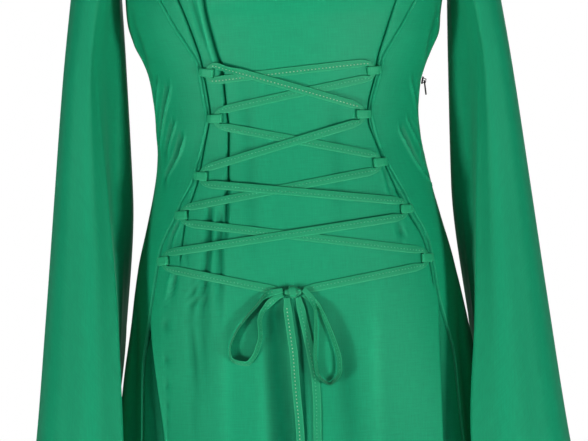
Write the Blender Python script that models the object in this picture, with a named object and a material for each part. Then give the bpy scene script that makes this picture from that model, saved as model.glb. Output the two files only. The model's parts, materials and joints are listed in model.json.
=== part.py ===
"""Medieval gown with trumpet sleeves and a laced front, worn, hollow and open at neck, hem and cuffs.

Metres. The origin is midway between the shoulders at the foot of the neck, +Z up, the front faces -Y and the
wearer's left is +X. All the cloth is one torso surface, cut along its seams into panels with a 0.3 mm gap.
"""
import math

import bmesh
import bpy
import numpy as np

WALL = 0.0016          # cloth of the body panels
SLEEVE_WALL = 0.0015   # cloth of the sleeves
GAP = 0.0003           # left open at every seam
UNDERARM = -0.195      # level of the armhole's lowest edge
SHOULDER_Z = -0.225    # from this level up the chest and back round over to the shoulder seam
SHOULDER_TOP = -0.008  # height of the shoulder seam beside the neck
SHOULDER_DROP = 0.46   # fall of the shoulder seam per metre outwards
NECK_X = 0.100         # half-width of the neck opening at the shoulder seam

# level, half-width, offset of the middle, depth of the front, depth of the back
BODY = (
    (0.000, 0.1850, 0.0000, 0.125, 0.098),
    (-0.040, 0.1810, 0.0000, 0.125, 0.098),
    (-0.100, 0.1700, 0.0000, 0.125, 0.098),
    (-0.150, 0.1590, 0.0000, 0.125, 0.098),
    (-0.195, 0.1515, 0.0000, 0.125, 0.098),
    (-0.225, 0.1515, 0.0000, 0.125, 0.097),
    (-0.272, 0.1506, -0.0005, 0.116, 0.091),
    (-0.290, 0.1487, -0.0012, 0.106, 0.088),
    (-0.308, 0.1451, 0.0001, 0.099, 0.085),
    (-0.325, 0.1372, 0.0000, 0.094, 0.082),
    (-0.338, 0.1320, -0.0006, 0.091, 0.080),
    (-0.355, 0.1277, -0.0018, 0.088, 0.078),
    (-0.385, 0.1251, -0.0022, 0.0855, 0.076),
    (-0.405, 0.1253, -0.0012, 0.085, 0.077),
    (-0.425, 0.1273, 0.0000, 0.086, 0.080),
    (-0.450, 0.1320, 0.0005, 0.088, 0.087),
    (-0.481, 0.1394, 0.0005, 0.0905, 0.097),
    (-0.520, 0.1494, 0.0005, 0.093, 0.109),
    (-0.580, 0.1603, 0.0015, 0.097, 0.122),
    (-0.620, 0.1672, 0.0010, 0.101, 0.128),
    (-0.690, 0.1760, 0.0000, 0.112, 0.138),
    (-0.800, 0.1990, 0.0000, 0.136, 0.158),
    (-0.900, 0.2240, 0.0000, 0.160, 0.180),
    (-1.100, 0.2750, 0.0000, 0.210, 0.228),
    (-1.430, 0.3600, 0.0000, 0.290, 0.305),
)

# level, edge of the front panel at the wearer's right, the same at the wearer's left (laced seam, then armhole)
FRONT_EDGE = (
    (0.000, 0.1680, 0.1680),
    (-0.030, 0.1600, 0.1600),
    (-0.060, 0.1520, 0.1520),
    (-0.100, 0.1440, 0.1440),
    (-0.140, 0.1415, 0.1415),
    (-0.170, 0.1430, 0.1430),
    (-0.195, 0.1460, 0.1460),
    (-0.235, 0.1340, 0.1385),
    (-0.270, 0.1166, 0.1262),
    (-0.297, 0.1027, 0.1110),
    (-0.316, 0.0913, 0.0990),
    (-0.333, 0.0825, 0.0889),
    (-0.3475, 0.0805, 0.0852),
    (-0.365, 0.0783, 0.0797),
    (-0.382, 0.0757, 0.0757),
    (-0.400, 0.0795, 0.0785),
    (-0.418, 0.0850, 0.0838),
    (-0.4417, 0.0930, 0.0955),
    (-0.4585, 0.1031, 0.1043),
    (-0.4736, 0.1101, 0.1110),
    (-0.503, 0.1252, 0.1250),
    (-0.5206, 0.1290, 0.1285),
    (-0.5564, 0.1361, 0.1332),
    (-0.5816, 0.1409, 0.1389),
    (-0.6125, 0.1461, 0.1453),
    (-0.6825, 0.1502, 0.1485),
    (-0.900, 0.1850, 0.1850),
    (-1.430, 0.2760, 0.2760),
)

# level, edge of the back panel (side seam, then armhole), as a share of the half-width
BACK_EDGE = (
    (0.000, 0.9081),
    (-0.030, 0.8770),
    (-0.060, 0.8460),
    (-0.100, 0.8350),
    (-0.140, 0.8750),
    (-0.170, 0.9300),
    (-0.195, 1.0000),
)

# soft flutes of the skirt: bearing from the front (degrees, wearer's left positive), width (degrees), share of depth
FLUTES = (
    (-6, 13, -0.9), (13, 11, 0.9), (-27, 12, 0.9), (33, 11, -0.8), (-50, 12, -0.9), (52, 12, 1.0), (-74, 13, 0.8),
    (76, 12, -0.8), (-98, 12, -0.9), (100, 13, 0.9), (-122, 13, 1.0), (124, 12, -0.9), (-146, 12, -0.8),
    (148, 12, 0.9), (-168, 12, 0.9), (171, 12, -0.7),
)
# level, depth of the flutes
FLUTE_DEPTH = (
    (0.0, 0.0), (-0.560, 0.0), (-0.690, 0.0035), (-0.800, 0.006), (-0.900, 0.011), (-1.100, 0.024), (-1.430, 0.040))

# grooves of the cinched cloth: level and x of the top, of the middle and of the foot, then width and depth
GROOVES = (
    (-0.255, -0.0800, -0.380, -0.0588, -0.500, -0.0640, 0.0050, 0.0026),
    (-0.470, -0.0790, -0.500, -0.0795, -0.560, -0.0900, 0.0050, 0.0020),
    (-0.255, 0.1120, -0.300, 0.0970, -0.345, 0.0800, 0.0045, 0.0022),
    (-0.575, -0.1385, -0.628, -0.1340, -0.760, -0.1260, 0.0055, 0.0024),
    (-0.560, 0.1325, -0.633, 0.1310, -0.760, 0.1280, 0.0055, 0.0024),
    (-0.530, -0.1215, -0.611, -0.1245, -0.700, -0.1270, 0.0050, 0.0014),
    (-0.345, -0.1080, -0.385, -0.1175, -0.420, -0.1200, 0.0050, 0.0018),
    (-0.385, 0.1080, -0.420, 0.1160, -0.455, 0.1270, 0.0050, 0.0018),
    (-0.430, 0.0870, -0.452, 0.0925, -0.475, 0.1035, 0.0045, 0.0018),
)

NECK_ROW = 2      # rows above the underarm at the front neckline
NAPE_ROW = 4      # rows above the underarm at the back neckline
UPPER_ROWS = 7    # rows from the underarm to the shoulder seam
HALF_COLUMNS = 12  # columns from the middle of a panel to its edge
STRAP_COLUMNS = 4  # of these, columns beside the neck opening
SIDE_COLUMNS = 5
BACK_HALF = 11
LOWER_LEVELS = (
    -1.430, -1.340, -1.240, -1.140, -1.040, -0.950, -0.870, -0.800, -0.745, -0.700, -0.660, -0.625, -0.595, -0.572,
    -0.552, -0.535, -0.518, -0.501, -0.484, -0.467, -0.450, -0.434, -0.418, -0.402, -0.386, -0.370, -0.354, -0.339,
    -0.325, -0.310, -0.293, -0.273, -0.250, -0.224)

# level, then x and y of ten places round a sleeve, from the outer side over the front to the body and back
SLEEVE = (
    (-0.240, (0.2000, 0.004), (0.193, -0.033), (0.177, -0.045), (0.163, -0.036), (0.1575, -0.014), (0.1552, 0.010),
     (0.1572, 0.034), (0.164, 0.051), (0.178, 0.055), (0.194, 0.040)),
    (-0.335, (0.2130, 0.004), (0.206, -0.037), (0.188, -0.054), (0.1790, -0.034), (0.1650, -0.010), (0.1540, 0.012),
     (0.1550, 0.036), (0.163, 0.055), (0.183, 0.062), (0.205, 0.046)),
    (-0.450, (0.2260, 0.004), (0.217, -0.044), (0.195, -0.065), (0.1735, -0.042), (0.1690, -0.010), (0.1532, 0.012),
     (0.1540, 0.044), (0.166, 0.069), (0.191, 0.077), (0.216, 0.052)),
    (-0.570, (0.2390, -0.002), (0.228, -0.060), (0.200, -0.086), (0.1665, -0.064), (0.1690, -0.024), (0.1650, 0.014),
     (0.1625, 0.052), (0.168, 0.082), (0.198, 0.092), (0.228, 0.060)),
    (-0.690, (0.2530, -0.010), (0.240, -0.080), (0.206, -0.110), (0.1570, -0.090), (0.1800, -0.042), (0.1880, 0.002),
     (0.1840, 0.052), (0.184, 0.094), (0.214, 0.110), (0.243, 0.070)),
    (-0.920, (0.2920, -0.020), (0.270, -0.122), (0.218, -0.158), (0.1580, -0.150), (0.2180, -0.075), (0.2460, -0.010),
     (0.2420, 0.060), (0.220, 0.120), (0.246, 0.138), (0.276, 0.084)),
)
# level, how far the front fold's inner edge of the wearer's right sleeve stands further out
RIGHT_FOLD = ((-0.240, 0.0), (-0.450, 0.0), (-0.570, 0.001), (-0.690, 0.009), (-0.920, 0.016))
SLEEVE_HEM = -0.835     # mean level of the sleeve's hem
SLEEVE_HEM_TILT = 0.055  # the hem stands higher in front and hangs lower behind by this much
SLEEVE_STEPS = (0.0, 0.07, 0.16, 0.28, 0.40, 0.52, 0.64, 0.76, 0.88, 1.0)
CAP_STEPS = (0.16, 0.36, 0.60, 0.82)

# name, level, side (-1 wearer's right), slant in degrees
LOOPS = (
    ("loop_right_1", -0.3383, -1, -8.0), ("loop_right_2", -0.3830, -1, 0.0), ("loop_right_3", -0.4357, -1, -6.0),
    ("loop_right_4", -0.4726, -1, 0.0), ("loop_right_5", -0.5154, -1, 4.0),
    ("loop_left_1", -0.3423, 1, -4.0), ("loop_left_2", -0.3841, 1, 0.0), ("loop_left_3", -0.4295, 1, -4.0),
    ("loop_left_4", -0.4747, 1, 0.0), ("loop_left_5", -0.5213, 1, 0.0),
)
LOOP_LENGTH = 0.0150
LOOP_WIDTH = 0.0082
LOOP_STRIP = 0.0010
EYE_AT = 0.0086         # distance of the eye's middle from the seam
EYE_HEIGHT = 0.00225    # height of the eye's middle over the panel

LACE_WIDTH = 0.0080
LACE_THICK = 0.0012
LACE_IN_EYE = 0.0044    # the lace is gathered to this width inside a loop
TURN_RADIUS = 0.0062
LOW = 0.00100           # height of the lower strand over the panel
HIGH = 0.00255          # height of the upper strand

# name, first loop, its end (1 top, -1 foot), second loop, its end, height over the panel
STRETCHES = (
    ("lace_bar", "loop_right_1", -1, "loop_left_1", 1, LOW),
    ("lace_upper_1", "loop_right_1", 1, "loop_left_2", 1, HIGH),
    ("lace_upper_2", "loop_left_2", -1, "loop_right_3", 1, HIGH),
    ("lace_upper_3", "loop_right_3", -1, "loop_left_4", 1, HIGH),
    ("lace_upper_4", "loop_left_4", -1, "loop_right_5", 1, HIGH),
    ("lace_lower_1", "loop_left_1", -1, "loop_right_2", 1, LOW),
    ("lace_lower_2", "loop_right_2", -1, "loop_left_3", 1, LOW),
    ("lace_lower_3", "loop_left_3", -1, "loop_right_4", 1, LOW),
    ("lace_lower_4", "loop_right_4", -1, "loop_left_5", 1, LOW),
)
# name, loop, its end, x and level where the stretch meets the knot
KNOT_RUNS = (
    ("lace_run_right", "loop_right_5", -1, -0.0125, -0.5470),
    ("lace_run_left", "loop_left_5", -1, 0.0068, -0.5462),
)
KNOT_AT = (-0.0029, -0.5478)
KNOT_HALF = (0.0080, 0.0036, 0.0046)   # across, out from the panel, up

# x and level along each free piece of the lace; heights over the panel at its two ends and between
BOW_RIGHT = (
    (-0.0122, -0.5462), (-0.0200, -0.5474), (-0.0273, -0.5500), (-0.0361, -0.5595), (-0.0478, -0.5722),
    (-0.0573, -0.5858), (-0.0624, -0.6006), (-0.0613, -0.6081), (-0.0553, -0.6120), (-0.0481, -0.6131),
    (-0.0419, -0.6078), (-0.0376, -0.5991), (-0.0343, -0.5866), (-0.0345, -0.5745), (-0.0326, -0.5668),
    (-0.0277, -0.5602), (-0.0190, -0.5530), (-0.0124, -0.5500))
BOW_LEFT = (
    (0.0066, -0.5460), (0.0105, -0.5500), (0.0150, -0.5584), (0.0167, -0.5687), (0.0163, -0.5886), (0.0151, -0.6090),
    (0.0164, -0.6245), (0.0222, -0.6325), (0.0272, -0.6350), (0.0335, -0.6311), (0.0374, -0.6229),
    (0.0373, -0.6132), (0.0338, -0.5977), (0.0275, -0.5793), (0.0207, -0.5636), (0.0140, -0.5560),
    (0.0066, -0.5504))
TAIL_RIGHT = (
    (-0.0089, -0.5532), (-0.0086, -0.5624), (-0.0066, -0.5850), (-0.0044, -0.6082), (-0.0038, -0.6287),
    (-0.0028, -0.6491), (-0.0016, -0.6695), (-0.0012, -0.6861), (-0.0020, -0.7200), (-0.0050, -0.7600),
    (-0.0090, -0.8000), (-0.0110, -0.8450))
TAIL_LEFT = (
    (0.0016, -0.5532), (0.0048, -0.5682), (0.0085, -0.5883), (0.0120, -0.6089), (0.0148, -0.6294),
    (0.0154, -0.6498), (0.0150, -0.6687), (0.0146, -0.6867), (0.0150, -0.7200), (0.0170, -0.7600),
    (0.0200, -0.8000), (0.0215, -0.8250))

ZIP_LEVEL = -0.3525
SLIDER_LIFT = 0.00025                  # the flat back stands on the hollow of the waist by its ends
ZIP_BASE = (0.0016, 0.0044, 0.0070)    # slider: out from the seam, across, along
PIVOT_OUT = 0.0026                     # pivot of the pull tab, out from the slider's back
TAB_LENGTH = 0.0135
TAB_WIDTH = 0.0044
TAB_THICK = 0.0014
TAB_LEAN = 5.0                         # degrees the hanging tab's foot stands out

GREEN = (0.014, 0.300, 0.150, 1.0)
LACE_GREEN = (0.020, 0.320, 0.165, 1.0)
STEEL = (0.045, 0.048, 0.050, 1.0)


def smooth(x, xs, ys):
    """Monotone cubic through the table (xs falling or rising), evaluated at x."""
    x = np.asarray(x, float)
    order = np.argsort(xs)
    xs = np.asarray(xs, float)[order]
    ys = np.asarray(ys, float)[order]
    h = np.diff(xs)
    d = np.diff(ys) / h
    m = np.zeros_like(ys)
    w1 = 2 * h[1:] + h[:-1]
    w2 = h[1:] + 2 * h[:-1]
    same = d[:-1] * d[1:] > 0
    low = np.where(same, d[:-1], 1.0)
    high = np.where(same, d[1:], 1.0)
    m[1:-1] = np.where(same, (w1 + w2) / (w1 / low + w2 / high), 0.0)
    m[0] = d[0]
    m[-1] = d[-1]
    x = np.clip(x, xs[0], xs[-1])
    k = np.clip(np.searchsorted(xs, x) - 1, 0, len(h) - 1)
    t = (x - xs[k]) / h[k]
    return ((2 * t**3 - 3 * t**2 + 1) * ys[k] + (t**3 - 2 * t**2 + t) * h[k] * m[k]
            + (3 * t**2 - 2 * t**3) * ys[k + 1] + (t**3 - t**2) * h[k] * m[k + 1])


def column(table, index):
    return [row[index] for row in table]


def unit(v):
    return v / np.maximum(np.linalg.norm(v, axis=-1, keepdims=True), 1e-12)


def flutes(bearing, level):
    """Outward swing of the skirt's flutes at a bearing in radians."""
    out = np.zeros(np.broadcast(bearing, level).shape)
    for at, width, share in FLUTES:
        away = np.degrees(bearing) - at
        away = (away + 180.0) % 360.0 - 180.0
        out = out + share * np.exp(-(away / width) ** 2)
    return out * smooth(level, column(FLUTE_DEPTH, 0), column(FLUTE_DEPTH, 1))


def grooves(x, level):
    """Inward depth of the folds of the cinched cloth on the front."""
    out = np.zeros(np.broadcast(x, level).shape)
    for top, x0, mid, x1, foot, x2, width, depth in GROOVES:
        line = smooth(level, (foot, mid, top), (x2, x1, x0))
        along = np.clip((level - foot) / (top - foot), 0.0, 1.0)
        fade = np.where((level > foot) & (level < top), np.sin(math.pi * along) ** 0.7, 0.0)
        out = out - depth * fade * np.exp(-((x - line) / width) ** 2)
    return out


def torso(bearing, level, folds=True):
    """Point of the outer cloth at a bearing (0 front, + to the wearer's left) and a nominal level."""
    bearing, level = np.broadcast_arrays(np.asarray(bearing, float), np.asarray(level, float))
    levels = column(BODY, 0)
    half = smooth(level, levels, column(BODY, 1))
    middle = smooth(level, levels, column(BODY, 2))
    front = smooth(level, levels, column(BODY, 3))
    back = smooth(level, levels, column(BODY, 4))
    sine, cosine = np.sin(bearing), np.cos(bearing)
    depth = np.where(cosine > 0, front, back)
    x = half * sine
    rise = np.clip((level - SHOULDER_Z) / (0.0 - SHOULDER_Z), 0.0, 1.0)
    top = SHOULDER_TOP - SHOULDER_DROP * np.maximum(np.abs(x) - NECK_X, 0.0)
    z = np.where(level > SHOULDER_Z, SHOULDER_Z + (top - SHOULDER_Z) * rise, level)
    y = -depth * cosine * np.sqrt(1.0 - rise**2)
    out = flutes(bearing, level)
    if folds:
        out = out + grooves(x, level) * np.clip(cosine / 0.3, 0.0, 1.0)
    normal = unit(np.stack([depth * sine, -half * cosine, np.zeros_like(x)], -1))
    return np.stack([x + middle, y, z], -1) + out[..., None] * normal


def torso_normal(bearing, level, folds=True):
    """Outward normal of the outer cloth."""
    step = 1e-3
    bearing, level = np.broadcast_arrays(np.asarray(bearing, float), np.asarray(level, float))
    high = np.minimum(level + step, -1e-6)
    low = np.minimum(level, -1e-6) - step
    across = torso(bearing + step, level, folds) - torso(bearing - step, level, folds)
    along = torso(bearing, high, folds) - torso(bearing, low, folds)
    at_top = (level > -1e-4)[..., None]
    normal = unit(np.cross(across, along))
    flat = np.stack([np.sign(np.sin(bearing)) * SHOULDER_DROP, np.zeros_like(level), np.ones_like(level)], -1)
    return np.where(at_top, unit(flat), normal)


def on_front(x, level):
    """Bearing of a place on the front given by x."""
    half = smooth(level, column(BODY, 0), column(BODY, 1))
    middle = smooth(level, column(BODY, 0), column(BODY, 2))
    return np.arcsin(np.clip((np.asarray(x) - middle) / half, -0.999, 0.999))


def above_front(x, level, height):
    """Point at a height over the unfolded front, with the normal there."""
    bearing = on_front(x, level)
    normal = torso_normal(bearing, level, False)
    return torso(bearing, level, False) + np.asarray(height)[..., None] * normal, normal


def material(name, colour, rough, metal=0.0):
    mat = bpy.data.materials.new(name)
    mat.use_nodes = True
    shader = mat.node_tree.nodes["Principled BSDF"]
    shader.inputs["Base Color"].default_value = colour
    shader.inputs["Roughness"].default_value = rough
    shader.inputs["Metallic"].default_value = metal
    return mat


def finish(name, mesh, colour, rough, metal=0.0):
    """Closes the normals outwards and links the mesh as an object with its own material."""
    bmesh.ops.recalc_face_normals(mesh, faces=mesh.faces)
    if mesh.calc_volume(signed=True) < 0:
        bmesh.ops.reverse_faces(mesh, faces=mesh.faces)
    data = bpy.data.meshes.new(name)
    mesh.to_mesh(data)
    mesh.free()
    obj = bpy.data.objects.new(name, data)
    bpy.context.scene.collection.objects.link(obj)
    obj.data.materials.append(material(name + "_look", colour, rough, metal))
    return obj


def sheet(name, outer, inner, present, ring=False):
    """Closed solid between two grids of points; cells that aren't present are left open."""
    rows, cols = outer.shape[:2]
    mesh = bmesh.new()
    front = {}
    back = {}
    cells = [(i, j) for i in range(rows - 1) for j in range(cols if ring else cols - 1) if present[i, j]]
    edges = {}
    for i, j in cells:
        k = (j + 1) % cols
        corners = ((i, j), (i, k), (i + 1, k), (i + 1, j))
        for c in corners:
            if c not in front:
                front[c] = mesh.verts.new(outer[c])
                back[c] = mesh.verts.new(inner[c])
        mesh.faces.new([front[c] for c in corners])
        mesh.faces.new([back[c] for c in reversed(corners)])
        for a, b in zip(corners, corners[1:] + corners[:1]):
            if (b, a) in edges:
                del edges[(b, a)]
            else:
                edges[(a, b)] = True
    for a, b in edges:
        mesh.faces.new((front[b], front[a], back[a], back[b]))
    return finish(name, mesh, GREEN, 0.6)


def sweep(name, centres, across, outward, widths, thick, colour=LACE_GREEN):
    """Flat strip along a row of centres."""
    mesh = bmesh.new()
    rings = []
    for c, a, o, w in zip(centres, across, outward, widths):
        corners = ((-1, -1), (1, -1), (1, 1), (-1, 1))
        rings.append([mesh.verts.new(c + a * (s * w / 2) + o * (t * thick / 2)) for s, t in corners])
    for one, two in zip(rings, rings[1:]):
        for k in range(4):
            mesh.faces.new((one[k], one[(k + 1) % 4], two[(k + 1) % 4], two[k]))
    mesh.faces.new(list(reversed(rings[0])))
    mesh.faces.new(rings[-1])
    return finish(name, mesh, colour, 0.6)


def pulled(points, top):
    """Draws the seam edges of a grid in by half a gap, its top too where it ends at the shoulder seam."""
    out = points.copy()
    out[:, 0] += unit(points[:, 1] - points[:, 0]) * GAP / 2
    out[:, -1] += unit(points[:, -2] - points[:, -1]) * GAP / 2
    if top:
        out[-1] += unit(points[-2] - points[-1]) * GAP / 2
    return out


UPPER_LEVELS = [SHOULDER_Z * (1 - math.sin(a)) for a in np.linspace(
    math.asin(1 - UNDERARM / SHOULDER_Z), math.pi / 2, UPPER_ROWS + 1)]
LEVELS = np.array(LOWER_LEVELS + tuple(UPPER_LEVELS))
LEVELS[-1] = 0.0
BELOW = len(LOWER_LEVELS)


def edge_bearings(levels):
    """Bearings of the front panel's two edges and of the back panel's edge."""
    half = smooth(levels, column(BODY, 0), column(BODY, 1))
    middle = smooth(levels, column(BODY, 0), column(BODY, 2))
    right = np.arcsin((smooth(levels, column(FRONT_EDGE, 0), column(FRONT_EDGE, 1)) + middle) / half)
    left = np.arcsin((smooth(levels, column(FRONT_EDGE, 0), column(FRONT_EDGE, 2)) - middle) / half)
    rear = np.arcsin(np.clip(smooth(levels, column(BACK_EDGE, 0), column(BACK_EDGE, 1)), 0.0, 1.0))
    return right, left, rear


def panel_bearings(low_edge, high_edge, half_columns, neck_level):
    """Bearings of a front or back panel, with the straps' columns beside the neck opening."""
    half = smooth(LEVELS, column(BODY, 0), column(BODY, 1))
    inner = half_columns - STRAP_COLUMNS
    neck = np.arcsin((NECK_X - 0.006 * np.clip(LEVELS / -0.15, 0.0, 1.0)) / half)
    blend = np.clip((LEVELS - (neck_level - 0.16)) / 0.16, 0.0, 1.0)
    blend = blend * blend * (3 - 2 * blend)
    rows = []
    for k, level in enumerate(LEVELS):
        row = []
        for edge, sign in ((low_edge[k], -1), (high_edge[k], 1)):
            plain = edge * inner / half_columns
            stop = plain + (neck[k] - plain) * blend[k]
            part = [stop * j / inner for j in range(inner)] + [
                stop + (edge - stop) * j / STRAP_COLUMNS for j in range(STRAP_COLUMNS + 1)]
            row.append([sign * v for v in part])
        rows.append(list(reversed(row[0][1:])) + row[1])
    return np.array(rows)


def build_body():
    """The five panels; returns the armhole's outer and inner points and normals at the wearer's left."""
    right, left, rear = edge_bearings(LEVELS)
    grid = LEVELS[:, None]

    bearings = panel_bearings(right, left, HALF_COLUMNS, -0.150)
    normals = torso_normal(bearings, grid)
    outer = pulled(torso(bearings, grid), True)
    present = np.ones((len(LEVELS) - 1, 2 * HALF_COLUMNS), bool)
    present[BELOW + NECK_ROW - 1:, STRAP_COLUMNS:-STRAP_COLUMNS] = False
    sheet("front", outer, outer - WALL * normals, present)
    front_edge = (outer[BELOW:, -1], normals[BELOW:, -1])

    bearings = panel_bearings(rear, rear, BACK_HALF, -0.072)
    bearings = math.pi - bearings
    normals = torso_normal(bearings, grid)
    outer = pulled(torso(bearings, grid), True)
    present = np.ones((len(LEVELS) - 1, 2 * BACK_HALF), bool)
    present[BELOW + NAPE_ROW - 1:, STRAP_COLUMNS:-STRAP_COLUMNS] = False
    sheet("back", outer, outer - WALL * normals, present)
    back_edge = (outer[BELOW:, -1], normals[BELOW:, -1])

    low = LEVELS[:BELOW + 1]
    top_edge = None
    for name, start, sign in (("side_right", right, -1), ("side_left", left, 1)):
        share = np.linspace(0.0, 1.0, SIDE_COLUMNS + 1)[None, :]
        first = start[:BELOW + 1, None]
        bearings = sign * (first + (math.pi / 2 - first) * share)
        normals = torso_normal(bearings, low[:, None])
        outer = pulled(torso(bearings, low[:, None]), False)
        present = np.ones((BELOW, SIDE_COLUMNS), bool)
        sheet(name, outer, outer - WALL * normals, present)
        if sign > 0:
            top_edge = (outer[-1], normals[-1])

    ring = np.concatenate([front_edge[0][::-1], top_edge[0][1:-1], back_edge[0][:-1]])
    facing = np.concatenate([front_edge[1][::-1], top_edge[1][1:-1], back_edge[1][:-1]])
    return ring, facing


def refined(ring):
    """Adds the middle of every side of a closed ring."""
    return np.stack([ring, (ring + np.roll(ring, -1, axis=0)) / 2], 1).reshape(-1, 3)


def round_spline(values, share):
    """Closed cubic through evenly spaced values, at shares 0 to 1 of the round."""
    count = len(values)
    values = np.asarray(values)
    at = (np.asarray(share) % 1.0) * count
    k = np.floor(at).astype(int)
    t = (at - k)[:, None]
    p0, p1, p2, p3 = (values[(k + n) % count] for n in (-1, 0, 1, 2))
    return 0.5 * (2 * p1 + (p2 - p0) * t + (2 * p0 - 5 * p1 + 4 * p2 - p3) * t**2 + (3 * p1 - p0 - 3 * p2 + p3) * t**3)


def sleeve_ring(share, levels, fold):
    """Points round the sleeve at shares of the round, each at its own level."""
    table = np.array([[p for p in row[1:]] for row in SLEEVE])
    shift = smooth(column(SLEEVE, 0), column(RIGHT_FOLD, 0), column(RIGHT_FOLD, 1)) * fold
    table[:, 3, 0] += shift
    table[:, 4, 0] += 0.3 * shift
    out = np.zeros((len(share), 3))
    for n, (u, z) in enumerate(zip(share, levels)):
        control = np.stack([smooth(z, column(SLEEVE, 0), table[:, k, 0]) for k in range(10)])
        depth = np.stack([smooth(z, column(SLEEVE, 0), table[:, k, 1]) for k in range(10)])
        out[n, :2] = round_spline(np.stack([control, depth], -1), [u])[0]
        out[n, 2] = z
    return out


def build_sleeve(name, ring, facing, sign):
    """One trumpet sleeve from the armhole's edge to the hem; sign -1 mirrors it to the wearer's right."""
    ring = refined(ring)
    facing = unit(refined(facing))
    count = len(ring)
    run = unit(np.roll(ring, -1, axis=0) - np.roll(ring, 1, axis=0))
    away = unit(np.cross(run, facing))
    if np.sum(away[:, 0]) < 0:
        away = -away
    share = np.arange(count) / count
    start = ring + away * GAP
    first = sleeve_ring(share, np.full(count, SLEEVE[0][0]), 1.0 if sign < 0 else 0.0)
    drop = start[:, 2] - first[:, 2]
    reach = 0.010 + 0.10 * np.clip(drop - 0.045, 0.0, 0.2)
    second = start + away * reach[:, None]
    third = first + np.array([0.0, 0.0, 1.0]) * (0.45 * drop + 0.022)[:, None]
    rows = [start]
    for t in CAP_STEPS:
        rows.append(start * (1 - t)**3 + 3 * second * t * (1 - t)**2 + 3 * third * t**2 * (1 - t) + first * t**3)
    hem = SLEEVE_HEM + SLEEVE_HEM_TILT * np.sin(2 * math.pi * share)
    for s in SLEEVE_STEPS:
        level = SLEEVE[0][0] + (hem - SLEEVE[0][0]) * s
        rows.append(sleeve_ring(share, level, 1.0 if sign < 0 else 0.0))
    outer = np.array(rows)
    around = np.roll(outer, -1, axis=1) - np.roll(outer, 1, axis=1)
    down = np.gradient(outer, axis=0)
    normals = unit(np.cross(down, around))
    middle = outer.mean(axis=1, keepdims=True)
    if np.sum(normals[8:] * (outer - middle)[8:]) < 0:
        normals = -normals
    normals[0] = facing
    inner = outer - SLEEVE_WALL * normals
    if sign < 0:
        outer = outer * np.array([-1.0, 1.0, 1.0])
        inner = inner * np.array([-1.0, 1.0, 1.0])
    present = np.ones((len(rows) - 1, count), bool)
    return sheet(name, outer, inner, present, ring=True)


def seam_x(level, sign):
    index = 2 if sign > 0 else 1
    return sign * smooth(level, column(FRONT_EDGE, 0), column(FRONT_EDGE, index))


def loop_frame(level, sign, slant):
    """Seam point, direction towards the middle and direction along the eye, in x and z."""
    x = float(seam_x(level, sign))
    bearing = on_front(np.array([x]), np.array([level]))
    normal = torso_normal(bearing, np.array([level]), False)[0]
    lean = abs(float(normal[1]))
    a = math.radians(slant)
    run = np.array([-sign * math.cos(a) * lean, math.sin(a)])
    eye = np.array([sign * math.sin(a) * lean, math.cos(a)])
    return np.array([x, level]), run, eye


def build_loop(name, level, sign, slant):
    """A strip folded to an eye, its two ends at the seam."""
    length = LOOP_LENGTH
    low = GAP + LOOP_STRIP / 2
    high = 2 * EYE_HEIGHT - low
    turn = (high - low) / 2
    path = [(0.0004, low), (0.0045, low), (0.0090, low), (length - turn - 0.0005, low)]
    for a in (-45, 0, 45):
        path.append((length - turn - 0.0005 + turn * math.cos(math.radians(a)),
                     EYE_HEIGHT + turn * math.sin(math.radians(a))))
    path += [(length - turn - 0.0005, high), (0.0090, high), (0.0048, high), (0.0025, high - 0.0006),
             (0.0006, low + 0.0014)]
    path = np.array(path)
    origin, run, eye = loop_frame(level, sign, slant)
    flat = origin + path[:, :1] * run
    points, normals = above_front(flat[:, 0], flat[:, 1], path[:, 1])
    side = np.tile(origin + 0.002 * eye, (len(path), 1)) + path[:, :1] * run
    across = unit(above_front(side[:, 0], side[:, 1], path[:, 1])[0] - points)
    tangent = unit(np.gradient(points, axis=0))
    outward = unit(np.cross(tangent, across))
    return sweep(name, points, across, outward, [LOOP_WIDTH] * len(path), LOOP_STRIP, GREEN)


def rounded(corners, radius, arc=4, step=0.0130):
    """Flat polyline with its inner corners rounded, straights cut to short steps."""
    corners = [np.array(c) for c in corners]
    out = [corners[0]]
    for before, at, after in zip(corners, corners[1:], corners[2:]):
        one = (before - at) / np.linalg.norm(before - at)
        two = (after - at) / np.linalg.norm(after - at)
        angle = math.acos(float(np.clip(np.dot(one, two), -1, 1)))
        leg = min(np.linalg.norm(before - at), np.linalg.norm(after - at))
        reach = min(radius / math.tan(angle / 2), 0.92 * leg)
        r = reach * math.tan(angle / 2)
        centre = at + (one + two) / np.linalg.norm(one + two) * r / math.sin(angle / 2)
        a = at + one * reach - centre
        b = at + two * reach - centre
        sweep_angle = math.acos(float(np.clip(np.dot(a, b) / r**2, -1, 1)))
        for k in range(arc + 1):
            t = k / arc
            turned = a * math.sin((1 - t) * sweep_angle) + b * math.sin(t * sweep_angle)
            out.append(centre + turned / math.sin(sweep_angle))
    out.append(corners[-1])
    full = [out[0]]
    for p in out[1:]:
        gap = np.linalg.norm(p - full[-1])
        parts = max(1, int(round(gap / step)))
        start = full[-1]
        if gap < 1e-6:
            continue
        full += [start + (p - start) * k / parts for k in range(1, parts + 1)]
    return np.array(full)


def lay_lace(name, flat, heights, widths, tilt=0.0):
    """The lace along a row of places on the front; tilt turns it on edge."""
    points, normals = above_front(flat[:, 0], flat[:, 1], heights)
    tangent = unit(np.gradient(points, axis=0))
    across = unit(np.cross(normals, tangent))
    outward = unit(np.cross(tangent, across))
    tilt = np.broadcast_to(tilt, (len(flat),))[:, None]
    turned = np.cos(tilt) * across + np.sin(tilt) * outward
    facing = np.cos(tilt) * outward - np.sin(tilt) * across
    return sweep(name, points, turned, facing, widths, LACE_THICK)


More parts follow.
